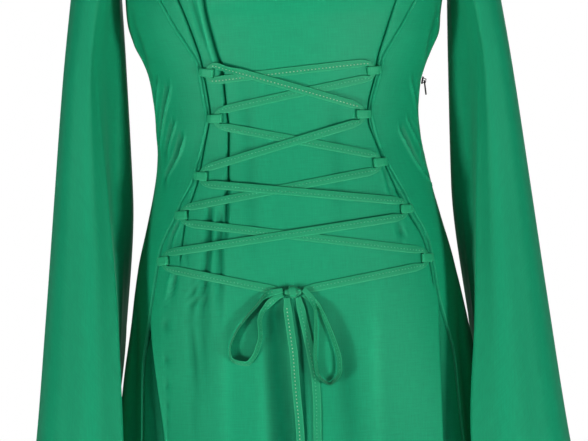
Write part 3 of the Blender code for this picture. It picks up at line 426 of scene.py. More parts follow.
SOFT, SHARP, LEDGE = Fold.SOFT, Fold.SHARP, Fold.LEDGE
TUCK_RIGHT = (
    (-0.118, -0.222), (-0.104, -0.262), (-0.1005, -0.2712), (-0.093, -0.2915), (-0.0863, -0.3117),
    (-0.0806, -0.3314), (-0.0784, -0.3446), (-0.0752, -0.3681), (-0.0743, -0.3775), (-0.0769, -0.3911),
    (-0.0815, -0.4109), (-0.0856, -0.4295), (-0.0883, -0.4406), (-0.0933, -0.4545), (-0.0994, -0.4693),
    (-0.104, -0.4907), (-0.1077, -0.514),
)
LOW_RIGHT = (
    (-0.1385, -0.567), (-0.138, -0.5817), (-0.1348, -0.6276), (-0.13, -0.6826), (-0.124, -0.8),
)
TUCK_LEFT = (
    (0.118, -0.235), (0.1049, -0.279), (0.0946, -0.3065), (0.0847, -0.3363), (0.0825, -0.3475),
    (0.0745, -0.3787), (0.0742, -0.389), (0.08, -0.409), (0.085, -0.4235), (0.0897, -0.4354),
    (0.1044, -0.4698), (0.1215, -0.503), (0.1262, -0.5206), (0.1295, -0.5454),
)
LOW_LEFT = (
    (0.1338, -0.5655), (0.1322, -0.6333), (0.1311, -0.6928), (0.128, -0.8),
)
SLIT_RIGHT = (
    (-0.076, -0.2727), (-0.0669, -0.3192), (-0.0626, -0.3349), (-0.0609, -0.3464), (-0.0591, -0.3745),
    (-0.0577, -0.3923), (-0.0585, -0.4129), (-0.0599, -0.4409), (-0.0625, -0.4689),
)

# x and level of the rails of the front panel's grid, which keep the tucks and the slit crisp
RAIL_RIGHT = (
    (-0.134, 0.0), (-0.122, -0.1), (-0.118, -0.15), (-0.121, -0.195), *TUCK_RIGHT, (-0.125, -0.545),
    *LOW_RIGHT, (-0.132, -0.9), (-0.19, HEM),
)
RAIL_LEFT = (
    (0.134, 0.0), (0.122, -0.1), (0.118, -0.15), (0.121, -0.195), *TUCK_LEFT, *LOW_LEFT, (0.134, -0.9),
    (0.19, HEM),
)
RAIL_SLIT = (
    (-0.088, -0.22), *SLIT_RIGHT, (-0.06, -0.545), (-0.06, -0.69), (-0.07, -0.9), (-0.1, HEM),
)

# fold, depth, width, line, fade, side and reach of each crease
FRONT_CREASES = tuple(Crease(*row) for row in (
    (SHARP, -0.0046, 0.00052, TUCK_RIGHT[1:], (0.03, 0.008)),
    (SOFT, -0.0012, 0.0022, TUCK_RIGHT[:6], (0.03, 0.02)),
    (SHARP, -0.0044, 0.0005, TUCK_LEFT[1:], (0.03, 0.006)),
    (SOFT, -0.0009, 0.0022, TUCK_LEFT[:5], (0.03, 0.02)),
    (SOFT, -0.0028, 0.002, ((0.0985, -0.457), (0.103, -0.465), (0.1075, -0.476)), (0.008, 0.006)),
    (SHARP, -0.0064, 0.0007, SLIT_RIGHT[3:8], (0.008, 0.008)),
    (SOFT, -0.0048, 0.0019, ((-0.0765, -0.262), *SLIT_RIGHT[:4]), (0.022, 0.006)),
    (SOFT, 0.0013, 0.0017, ((-0.082, -0.268), (-0.0716, -0.3192), (-0.0668, -0.3349)),
     (0.024, 0.006)),
    (SOFT, -0.0016, 0.0021, ((-0.09, -0.262), (-0.0775, -0.31)), (0.024, 0.012)),
    (SOFT, -0.0042, 0.0023, ((-0.0598, -0.44), (-0.0625, -0.4689), (-0.064, -0.49)), (0.006, 0.02)),
    (SOFT, -0.0042, 0.0031, ((-0.0785, -0.466), (-0.079, -0.4804), (-0.0798, -0.501),
     (-0.084, -0.5261), (-0.086, -0.545), (-0.0872, -0.59)), (0.01, 0.07)),
    (SOFT, 0.0009, 0.0018, ((-0.0745, -0.472), (-0.0752, -0.501), (-0.0795, -0.5261)), (0.01, 0.018)),
    (SOFT, -0.0034, 0.0029, ((-0.0685, -0.472), (-0.0691, -0.4808), (-0.0699, -0.5014),
     (-0.0712, -0.55)), (0.01, 0.05)),
    (SOFT, 0.0009, 0.0016, ((-0.0918, -0.5361), (-0.0936, -0.5828)), (0.012, 0.02)),
    (SOFT, -0.0026, 0.0028, ((-0.095, -0.5361), (-0.0975, -0.5828), (-0.098, -0.65)), (0.014, 0.06)),
    (SOFT, -0.0026, 0.0018, ((-0.1125, -0.528), (-0.116, -0.5455)), (0.005, 0.012)),
    (SOFT, 0.0011, 0.0016, ((-0.1178, -0.528), (-0.1225, -0.549)), (0.006, 0.012)),
    (SHARP, -0.0018, 0.0006, ((-0.1224, -0.5511), (-0.1268, -0.6724)), (0.01, 0.04)),
    (LEDGE, -0.005, 0.0005, LOW_RIGHT, (0.02, 0.06), -1, 0.0085),
    (SHARP, -0.0016, 0.00055, LOW_LEFT, (0.012, 0.06)),
    (LEDGE, -0.0034, 0.0005, LOW_LEFT, (0.02, 0.06), 1, 0.0065),
    (SHARP, -0.0015, 0.0008, ((0.0865, -0.4344), (0.0929, -0.4628)), (0.006, 0.008)),
    (SOFT, 0.0008, 0.0012, ((0.0838, -0.4344), (0.09, -0.4628)), (0.006, 0.008)),
    (SOFT, -0.0028, 0.0015, ((0.0987, -0.4865), (0.1009, -0.4941), (0.1009, -0.5053)),
     (0.005, 0.008)),
    (SOFT, 0.001, 0.0013, ((0.1022, -0.4865), (0.1042, -0.4941), (0.104, -0.5053)), (0.005, 0.008)),
    (SOFT, -0.0014, 0.0015, ((0.1093, -0.4794), (0.1159, -0.4909)), (0.004, 0.006)),
    (SHARP, -0.0009, 0.0007, ((0.1043, -0.5167), (0.1023, -0.541)), (0.006, 0.016)),
    (SOFT, -0.0018, 0.0016, ((-0.108, -0.479), (-0.115, -0.493), (-0.118, -0.506)), (0.004, 0.006)),
    (SOFT, 0.0008, 0.0013, ((-0.105, -0.479), (-0.1118, -0.493), (-0.115, -0.506)), (0.004, 0.006)),
    (SOFT, -0.0012, 0.0015, ((-0.102, -0.498), (-0.101, -0.518)), (0.006, 0.014)),
    (SOFT, 0.001, 0.006, ((-0.069, -0.56), (-0.069, -0.7)), (0.04, 0.12)),
    (SOFT, -0.0056, 0.0118, ((-0.02, -0.556), (-0.0231, -0.58), (-0.0178, -0.6867), (-0.017, -0.9)),
     (0.012, 0.2)),
    (SOFT, 0.0024, 0.006, ((-0.033, -0.58), (-0.034, -0.6867)), (0.02, 0.12)),
    (SOFT, 0.0014, 0.004, ((-0.008, -0.58), (-0.007, -0.6867)), (0.016, 0.12)),
    (SOFT, -0.0036, 0.0056, ((0.0025, -0.562), (0.003, -0.61), (0.0009, -0.687)), (0.014, 0.12)),
    (SOFT, -0.0022, 0.0095, ((0.04, -0.59), (0.0435, -0.63), (0.0467, -0.6892)), (0.035, 0.12)),
    (SOFT, 0.0012, 0.007, ((0.0725, -0.57), (0.0725, -0.7)), (0.04, 0.12)),
    (SOFT, -0.0008, 0.006, ((-0.04, -0.355), (-0.038, -0.5)), (0.03, 0.04)),
    (SOFT, -0.0007, 0.007, ((0.042, -0.37), (0.044, -0.47)), (0.03, 0.04)),
))
# height of a crest of the side panels, depth of the trough outside it, then x and level along the crest
SIDE_CRESTS = (
    (0.0024, -0.0034, ((-0.1215, -0.3443), (-0.126, -0.3763))),
    (0.0028, -0.0044, ((-0.1106, -0.352), (-0.116, -0.3732), (-0.1226, -0.4058))),
    (0.0024, -0.0032, ((-0.1068, -0.3848), (-0.1153, -0.4101))),
    (0.0027, -0.0042, ((-0.0993, -0.3997), (-0.1027, -0.4108), (-0.1165, -0.4356))),
    (0.0023, -0.003, ((0.1154, -0.3532), (0.1201, -0.3814))),
    (0.0023, -0.0034, ((0.1107, -0.3908), (0.1226, -0.4193))),
    (0.0027, -0.004, ((0.1025, -0.3996), (0.1113, -0.4191), (0.1207, -0.4363), (0.1322, -0.4518))),
)
CREST_FADE = (0.010, 0.016)
SIDE_CREASES = (
    *(Crease(SHARP, crest, 0.0010, line, CREST_FADE) for crest, _, line in SIDE_CRESTS),
    *(Crease(SOFT, trough, 0.0030, tuple((x + math.copysign(0.0036, x), z) for x, z in line), CREST_FADE)
      for _, trough, line in SIDE_CRESTS),
    Crease(SOFT, -0.0022, 0.0060, ((-0.1440, -0.2900), (-0.1330, -0.3300)), (0.025, 0.015)),
    Crease(SOFT, -0.0020, 0.0060, ((0.1440, -0.2900), (0.1330, -0.3300)), (0.025, 0.015)),
    Crease(SOFT, -0.0022, 0.0070, ((-0.1520, -0.5600), (-0.1600, -0.7400)), (0.050, 0.150)),
    Crease(SOFT, -0.0022, 0.0070, ((0.1530, -0.5700), (0.1610, -0.7600)), (0.050, 0.150)),
)
BACK_CREASES = tuple(Crease(*row) for row in (
    (SOFT, -0.002, 0.004, ((-0.09, -0.35), (-0.1, -0.39), (-0.112, -0.425)), (0.014, 0.018)),
    (SOFT, 0.0011, 0.0018, ((-0.096, -0.35), (-0.1065, -0.39), (-0.118, -0.425)), (0.014, 0.018)),
    (SOFT, -0.0017, 0.0036, ((-0.066, -0.372), (-0.078, -0.408), (-0.096, -0.442)), (0.014, 0.018)),
    (SOFT, 0.001, 0.0017, ((-0.072, -0.372), (-0.0842, -0.408), (-0.1015, -0.442)), (0.014, 0.018)),
    (SOFT, -0.0018, 0.0038, ((0.088, -0.356), (0.1, -0.4), (0.111, -0.434)), (0.014, 0.018)),
    (SOFT, 0.0011, 0.0018, ((0.094, -0.356), (0.1062, -0.4), (0.1168, -0.434)), (0.014, 0.018)),
    (SOFT, -0.0026, 0.0034, ((0.06, -0.38), (0.073, -0.415), (0.09, -0.45)), (0.014, 0.018)),
    (SOFT, 0.001, 0.0017, ((0.0658, -0.38), (0.079, -0.415), (0.0955, -0.45)), (0.014, 0.018)),
    (SOFT, -0.003, 0.01, ((-0.035, -0.43), (-0.042, -0.6), (-0.05, -0.9)), (0.06, 0.2)),
    (SOFT, -0.003, 0.011, ((0.02, -0.46), (0.026, -0.64), (0.03, -0.94)), (0.07, 0.2)),
    (SOFT, -0.0026, 0.01, ((0.098, -0.56), (0.108, -0.74), (0.12, -0.96)), (0.07, 0.2)),
    (SOFT, -0.0026, 0.01, ((-0.102, -0.54), (-0.112, -0.72), (-0.124, -0.96)), (0.07, 0.2)),
    (SOFT, -0.0022, 0.011, ((-0.062, -0.15), (-0.056, -0.26)), (0.06, 0.06)),
    (SOFT, -0.0022, 0.011, ((0.064, -0.16), (0.058, -0.27)), (0.06, 0.06)),
))


def neck_x(level: Grid) -> Grid:
    """Half-width of the neck opening: a little narrower at its foot than at the shoulder."""
    return NECK_X - NECK_TAPER * np.clip(level / FRONT_NECK, 0.0, 1.0)


@dataclass(frozen=True)
class CutSize:
    """A piece of cloth as cut: width and length of the rectangle it fits in, and its flat area."""
    width: float
    length: float
    area: float


def put_mesh(name: str, verts: Grid, faces: list[Grid], uv: Grid | None, sharp: float = 75.0,
             painted_shading: Grid | None = None) -> bpy.types.Object:
    """Makes a mesh object from arrays of points and faces.

    Args:
        name: the piece's name.
        verts: points, one row each.
        faces: arrays of vertex numbers, each of one count of corners a row.
        uv: place of each vertex on the flat cloth in metres, or None.
        sharp: angle in degrees past which an edge isn't shaded smooth.
        painted_shading: painted shade of each point by how deep in a fold it lies, up to 1, and painted
            highlight below 0 on a crest, or None.

    Returns:
        The linked object, at the origin.
    """
    used = np.zeros(len(verts), bool)
    for f in faces:
        used[f.ravel()] = True
    number = np.cumsum(used) - 1
    corners = [number[f] for f in faces if len(f)]
    mesh = bpy.data.meshes.new(name)
    loops = np.concatenate([f.ravel() for f in corners]).astype(np.int32)
    totals = np.concatenate([np.full(len(f), f.shape[1]) for f in corners]).astype(np.int32)
    starts = np.concatenate([[0], np.cumsum(totals)[:-1]]).astype(np.int32)
    mesh.vertices.add(int(used.sum()))
    mesh.vertices.foreach_set("co", verts[used].astype(np.float32).ravel())
    mesh.loops.add(len(loops))
    mesh.loops.foreach_set("vertex_index", loops)
    mesh.polygons.add(len(totals))
    mesh.polygons.foreach_set("loop_start", starts)
    mesh.polygons.foreach_set("loop_total", totals)
    mesh.update(calc_edges=True)
    if uv is not None:
        layer = mesh.uv_layers.new(name="cloth")
        layer.data.foreach_set("uv", uv[used][loops].astype(np.float32).ravel())
    # The fold attribute is painted shading: painted shade in the troughs, painted highlight on the crests.
    if painted_shading is not None:
        mesh.attributes.new("fold", "FLOAT", "POINT").data.foreach_set("value", painted_shading[used].astype(np.float32))
    mesh.polygons.foreach_set("use_smooth", np.ones(len(totals), bool))
    mesh.set_sharp_from_angle(angle=math.radians(sharp))
    mesh.validate()
    obj = bpy.data.objects.new(name, mesh)
    bpy.context.scene.collection.objects.link(obj)
    return obj


def cloth_shell(name: str, outer: Grid, inner: Grid, uv: Grid, present: Grid | None = None,
                ring: bool = False, painted_shading: Grid | None = None) -> bpy.types.Object:
    """Closed thin shell: quads on both grids of points and a rim wherever a present cell has no neighbour.

    Args:
        name: the piece's name.
        outer: points of the cloth's face, rows by columns by three.
        inner: points of its back.
        uv: place of each point on the flat cloth.
        present: which cells are cloth; all where None.
        ring: whether the last column joins the first.
        painted_shading: painted shade of each point by how deep in a fold it lies, and painted highlight on a
            crest, or None.

    Returns:
        The linked object.
    """
    rows, cols = outer.shape[:2]
    cells = cols if ring else cols - 1
    if present is None:
        present = np.ones((rows - 1, cells), bool)
    i, j = np.nonzero(present)
    k = (j + 1) % cols
    a, b, c, d = i * cols + j, i * cols + k, (i + 1) * cols + k, (i + 1) * cols + j
    count = rows * cols
    one = np.stack([a, b, c, d], -1)
    padded = np.zeros((rows + 1, cells + 2), bool)
    padded[1:-1, 1:-1] = present
    if ring:
        padded[:, 0], padded[:, -1] = padded[:, -2], padded[:, 1]
    rims = []
    for (p, q), shift in (((a, b), (-1, 0)), ((b, c), (0, 1)), ((c, d), (1, 0)), ((d, a), (0, -1))):
        open_side = ~padded[i + 1 + shift[0], j + 1 + shift[1]]
        rims.append(np.stack([q, p, p + count, q + count], -1)[open_side])
    verts = np.concatenate([outer.reshape(-1, 3), inner.reshape(-1, 3)])
    faces = [one, one[:, ::-1] + count] + rims
    mid = one[len(one) // 2]
    facing = np.cross(verts[mid[1]] - verts[mid[0]], verts[mid[3]] - verts[mid[0]])
    if np.dot(facing, verts[mid[0]] - verts[mid[0] + count]) < 0:
        faces = [f[:, ::-1] for f in faces]
    flat = np.concatenate([uv.reshape(-1, 2)] * 2)
    # Painted shading of each point, the same on the back as on the face.
    deep = None if painted_shading is None else np.concatenate([painted_shading.ravel()] * 2)
    return put_mesh(name, verts, faces, flat, painted_shading=deep)


def sheet_facts(outer: Grid, present: Grid | None = None, ring: bool = False) -> tuple[float, float, float]:
    """Widest row, longest column and area of a grid of points, in metres, for the log."""
    grid = np.concatenate([outer, outer[:, :1]], 1) if ring else outer
    across = np.linalg.norm(np.diff(grid, axis=1), axis=-1)
    down = np.linalg.norm(np.diff(grid, axis=0), axis=-1)
    e, f = grid[1:, 1:] - grid[:-1, :-1], grid[1:, :-1] - grid[:-1, 1:]
    area = np.linalg.norm(np.cross(e, f), axis=-1) / 2
    if present is not None:
        area = area * present
    return float(across.sum(1).max()), float(down.sum(0).max()), float(area.sum())


class Finish:
    """Base of the finishes: a principled node material whose plain numbers sit on the shader's sockets."""

    @staticmethod
    def start(name: str, colour: tuple, rough: float) -> tuple:
        """Makes the material and returns it with its node tree and shader."""
        mat = bpy.data.materials.new(name)
        mat.use_nodes = True
        tree = mat.node_tree
        shader = tree.nodes["Principled BSDF"]
        shader.inputs["Base Color"].default_value = (*colour, 1.0)
        shader.inputs["Roughness"].default_value = rough
        return mat, tree, shader

    @staticmethod
    def noise(tree: bpy.types.NodeTree, source: bpy.types.NodeSocket, scale: tuple,
              detail: float) -> bpy.types.Node:
        """Noise texture whose grain is one over scale metres long on each axis."""
        mapping = tree.nodes.new("ShaderNodeMapping")
        mapping.inputs["Scale"].default_value = scale
        grain = tree.nodes.new("ShaderNodeTexNoise")
        grain.inputs["Scale"].default_value = 1.0
        grain.inputs["Detail"].default_value = detail
        grain.inputs["Roughness"].default_value = 0.6
        tree.links.new(source, mapping.inputs["Vector"])
        tree.links.new(mapping.outputs["Vector"], grain.inputs["Vector"])
        return grain

    @staticmethod
    def maths(tree: bpy.types.NodeTree, kind: str, *values: object) -> bpy.types.NodeSocket:
        """Output of a math node whose inputs, in order, are sockets or numbers."""
        node = tree.nodes.new("ShaderNodeMath")
        node.operation = kind
        for socket, value in zip(node.inputs, values):
            if isinstance(value, (int, float)):
                socket.default_value = value
            else:
                tree.links.new(value, socket)
        return node.outputs[0]


@dataclass(frozen=True)
class Crepe(Finish):
    """Smooth drapey crepe: fine slubs along warp and weft, a pebbled surface, a soft sheen.

    Rough and slub are shares, depth is how far the painted shade of a full fold darkens the colour, and gloss
    the specular level.
    """
    name: str = "green_crepe"
    colour: tuple = (0.0016, 0.2850, 0.1310)
    rough: float = 0.62
    slub: float = 0.085
    pebble: float = 0.10
    sheen: float = 0.10
    depth: float = 0.72
    gloss: float = 0.24
    patches: float = 0.10
    rough_swing: float = 0.12
    grain: float = 0.0003

    def make(self) -> bpy.types.Material:
        """Colour times the slubs of two crossed noises, broad patches and the painted shading of folds; bump
        adds a pebble.
        """
        mat, tree, shader = self.start(self.name, self.colour, self.rough)
        uv = tree.nodes.new("ShaderNodeUVMap")
        uv.uv_map = "cloth"
        warp = self.noise(tree, uv.outputs["UV"], (900.0, 60.0, 1.0), 3.0)
        weft = self.noise(tree, uv.outputs["UV"], (60.0, 900.0, 1.0), 3.0)
        broad = self.noise(tree, uv.outputs["UV"], (22.0, 14.0, 1.0), 2.0)
        fine = self.noise(tree, uv.outputs["UV"], (2600.0, 2600.0, 1.0), 2.0)
        threads = self.maths(tree, "ADD", warp.outputs["Fac"], weft.outputs["Fac"])
        shade = self.maths(tree, "MULTIPLY_ADD", threads, self.slub * 4.0, 1.0 - self.slub * 4.0)
        patch = self.maths(tree, "MULTIPLY_ADD", broad.outputs["Fac"], self.patches, 1.0 - self.patches / 2)
        value = self.maths(tree, "MULTIPLY", shade, patch)
        # The fold attribute is painted shading: it darkens the colour in troughs and lightens it on crests.
        fold = tree.nodes.new("ShaderNodeAttribute")
        fold.attribute_name = "fold"
        painted_shade_factor = self.maths(tree, "MULTIPLY_ADD", fold.outputs["Fac"], -self.depth, 1.0)
        value = self.maths(tree, "MULTIPLY", value, painted_shade_factor)
        tint = tree.nodes.new("ShaderNodeMix")
        tint.data_type = "RGBA"
        tint.blend_type = "MULTIPLY"
        tint.inputs["Factor"].default_value = 1.0
        tint.inputs[6].default_value = (*self.colour, 1.0)
        grey = tree.nodes.new("ShaderNodeCombineColor")
        for socket in grey.inputs:
            tree.links.new(value, socket)
        tree.links.new(grey.outputs[0], tint.inputs[7])
        tree.links.new(tint.outputs[2], shader.inputs["Base Color"])
        grain = self.maths(tree, "MULTIPLY_ADD", fine.outputs["Fac"], 0.6, threads)
        bump = tree.nodes.new("ShaderNodeBump")
        bump.inputs["Strength"].default_value = self.pebble
        bump.inputs["Distance"].default_value = self.grain
        tree.links.new(grain, bump.inputs["Height"])
        tree.links.new(bump.outputs["Normal"], shader.inputs["Normal"])
        low = self.rough - self.rough_swing / 2
        rough = self.maths(tree, "MULTIPLY_ADD", fine.outputs["Fac"], self.rough_swing, low)
        tree.links.new(rough, shader.inputs["Roughness"])
        # Painted shade dulls the sheen and gloss in the troughs, and painted highlight raises them on the
        # crests.
        for socket, full in (("Sheen Weight", self.sheen), ("Specular IOR Level", self.gloss)):
            gloss_under_painted_shade = self.maths(tree, "MULTIPLY_ADD", fold.outputs["Fac"], -full, full)
            tree.links.new(gloss_under_painted_shade, shader.inputs[socket])
            shader.inputs[socket].default_value = full
        shader.inputs["Sheen Roughness"].default_value = 0.45
        shader.inputs["Sheen Tint"].default_value = (0.45, 0.95, 0.75, 1.0)
        return mat


@dataclass(frozen=True)
class Thread(Finish):
    """Matt sewing thread, lighter and browner than the cloth, with its twist as fine noise."""
    name: str = "stitch_thread"
    colour: tuple = (0.27, 0.48, 0.30)

    def make(self) -> bpy.types.Material:
        """Colour wavers between two tones with a noise of half a millimetre on Object coordinates."""
        mat, tree, shader = self.start(self.name, self.colour, 0.7)
        place = tree.nodes.new("ShaderNodeTexCoord")
        grain = self.noise(tree, place.outputs["Object"], (1800.0, 1800.0, 1800.0), 2.0)
        ramp = tree.nodes.new("ShaderNodeValToRGB")
        ramp.color_ramp.elements[0].color = (*(0.75 * v for v in self.colour), 1.0)
        ramp.color_ramp.elements[1].color = (*(1.30 * v for v in self.colour), 1.0)
        ramp.color_ramp.elements[0].position, ramp.color_ramp.elements[1].position = 0.3, 0.7
        tree.links.new(grain.outputs["Fac"], ramp.inputs["Fac"])
        tree.links.new(ramp.outputs["Color"], shader.inputs["Base Color"])
        shader.inputs["Sheen Weight"].default_value = 0.2
        return mat


@dataclass(frozen=True)
class Lacquer(Finish):
    """Dark lacquered metal of the zip, rubbed a little at random."""
    name: str = "zip_lacquer"
    colour: tuple = (0.012, 0.020, 0.017)

    def make(self) -> bpy.types.Material:
        """Roughness and colour follow a cloudy noise drawn out along the piece."""
        mat, tree, shader = self.start(self.name, self.colour, 0.35)
        place = tree.nodes.new("ShaderNodeTexCoord")
        cloud = self.noise(tree, place.outputs["Object"], (700.0, 700.0, 260.0), 4.0)
        ramp = tree.nodes.new("ShaderNodeValToRGB")
        ramp.color_ramp.elements[0].color = (0.002, 0.002, 0.002, 1.0)
        ramp.color_ramp.elements[1].color = (0.014, 0.011, 0.012, 1.0)
        ramp.color_ramp.elements[0].position, ramp.color_ramp.elements[1].position = 0.45, 0.80
        tree.links.new(cloud.outputs["Fac"], ramp.inputs["Fac"])
        tree.links.new(ramp.outputs["Color"], shader.inputs["Base Color"])
        rough = self.maths(tree, "MULTIPLY_ADD", cloud.outputs["Fac"], 0.35, 0.18)
        tree.links.new(rough, shader.inputs["Roughness"])
        shader.inputs["Metallic"].default_value = 0.35
        shader.inputs["Specular IOR Level"].default_value = 0.20
        return mat


# name, azimuth in degrees, height, distance, width and height of the box, watts
LIGHTS = (
    ("box_right", 44.0, -1.20, 2.6, (0.4, 0.5), 41.0),
    ("box_left", -46.0, -1.20, 2.6, (0.4, 0.5), 40.5),
    ("fill", 4.0, -0.30, 3.2, (1.6, 1.2), 13.0),
    ("behind", 178.0, 0.40, 3.2, (1.6, 1.4), 42.0),
)


@dataclass
class Studio:
    """Camera at the photograph's angle, two low boxes, a frontal fill, a box behind and a pale floor."""
    distance: float = 5.0
    centre: tuple = (0.0006, -0.4812)
    roll: float = math.radians(2.25)
    picture_width: float = 0.5586
    sensor: float = 36.0
    floor_z: float = -1.452
    floor_radius: float = 3.2
    floor_corners: int = 96
    aimed_at: float = -0.50

    def camera(self) -> None:
        """Camera level with the picture's middle, looking along +Y and rolled by the photograph's tilt."""
        data = bpy.data.cameras.new("camera")
        data.sensor_width = self.sensor
        data.lens = self.sensor * self.distance / self.picture_width
        data.clip_start, data.clip_end = 0.1, 100.0
        cam = bpy.data.objects.new("camera", data)
        bpy.context.scene.collection.objects.link(cam)
        cam.location = (self.centre[0], -self.distance, self.centre[1])
        cam.rotation_mode = "XYZ"
        cam.rotation_euler = (math.pi / 2, self.roll, 0.0)
        bpy.context.scene.camera = cam

    def light(self, name: str, azimuth: float, height: float, reach: float, size: tuple,
              power: float) -> None:
        """Soft box at an azimuth in degrees, positive to the picture's right, aimed at the waist."""
        data = bpy.data.lights.new(name, "AREA")
        data.shape = "RECTANGLE"
        data.size, data.size_y = size
        data.energy = power
        lamp = bpy.data.objects.new(name, data)
        bpy.context.scene.collection.objects.link(lamp)
        a = math.radians(azimuth)
        lamp.location = (reach * math.sin(a), -reach * math.cos(a), height)
        rise = math.atan2(height - self.aimed_at, reach)
        lamp.rotation_euler = (math.pi / 2 - rise, 0.0, a)
        lamp.visible_camera = False

    def world(self, strength: float) -> None:
        """White behind the object for the camera, dim even light for the rest."""
        world = bpy.data.worlds.new("studio")
        world.use_nodes = True
        tree = world.node_tree
        base = tree.nodes["Background"]
        base.inputs["Color"].default_value = (1.0, 1.0, 1.0, 1.0)
        base.inputs["Strength"].default_value = strength
        white = tree.nodes.new("ShaderNodeBackground")
        white.inputs["Color"].default_value = (1.0, 1.0, 1.0, 1.0)
        white.inputs["Strength"].default_value = 1.0
        mix = tree.nodes.new("ShaderNodeMixShader")
        path = tree.nodes.new("ShaderNodeLightPath")
        tree.links.new(path.outputs["Is Camera Ray"], mix.inputs[0])
        tree.links.new(base.outputs[0], mix.inputs[1])
        tree.links.new(white.outputs[0], mix.inputs[2])
        tree.links.new(mix.outputs[0], tree.nodes["World Output"].inputs[0])
        bpy.context.scene.world = world
        bpy.context.scene.view_settings.view_transform = "Standard"

    def floor(self) -> None:
        """Round pale floor just below the hem."""
        corners, radius = self.floor_corners, self.floor_radius
        a = np.linspace(0, 2 * math.pi, corners + 1)[:-1]
        verts = np.stack([radius * np.cos(a), radius * np.sin(a), np.full(corners, self.floor_z)], -1)
        obj = put_mesh("floor", verts, [np.arange(corners)[None, :]], None)
        mat, tree, shader = Finish.start("pale_floor", (0.80, 0.80, 0.79), 0.8)
        place = tree.nodes.new("ShaderNodeTexCoord")
        cloud = Finish.noise(tree, place.outputs["Object"], (3.0, 3.0, 3.0), 3.0)
        rough = Finish.maths(tree, "MULTIPLY_ADD", cloud.outputs["Fac"], 0.1, 0.75)
        tree.links.new(rough, shader.inputs["Roughness"])
        obj.data.materials.append(mat)


@dataclass
class Piece:
    """What every dressed piece shares: its finish, its body and the solids that it stands for."""
    cloth: bpy.types.Material
    body: str = "gown"

    def dress(self, obj: bpy.types.Object, slot: str, nodes: tuple, finish: bpy.types.Material) -> None:
        """Gives a piece its finish, rides it on the body and hides the solids that it stands for."""
        obj.data.materials.append(finish)
        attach(obj, self.body)
        if nodes:
            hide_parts(*nodes)
        LOG.info("%s: %d faces", obj.name, len(obj.data.polygons))


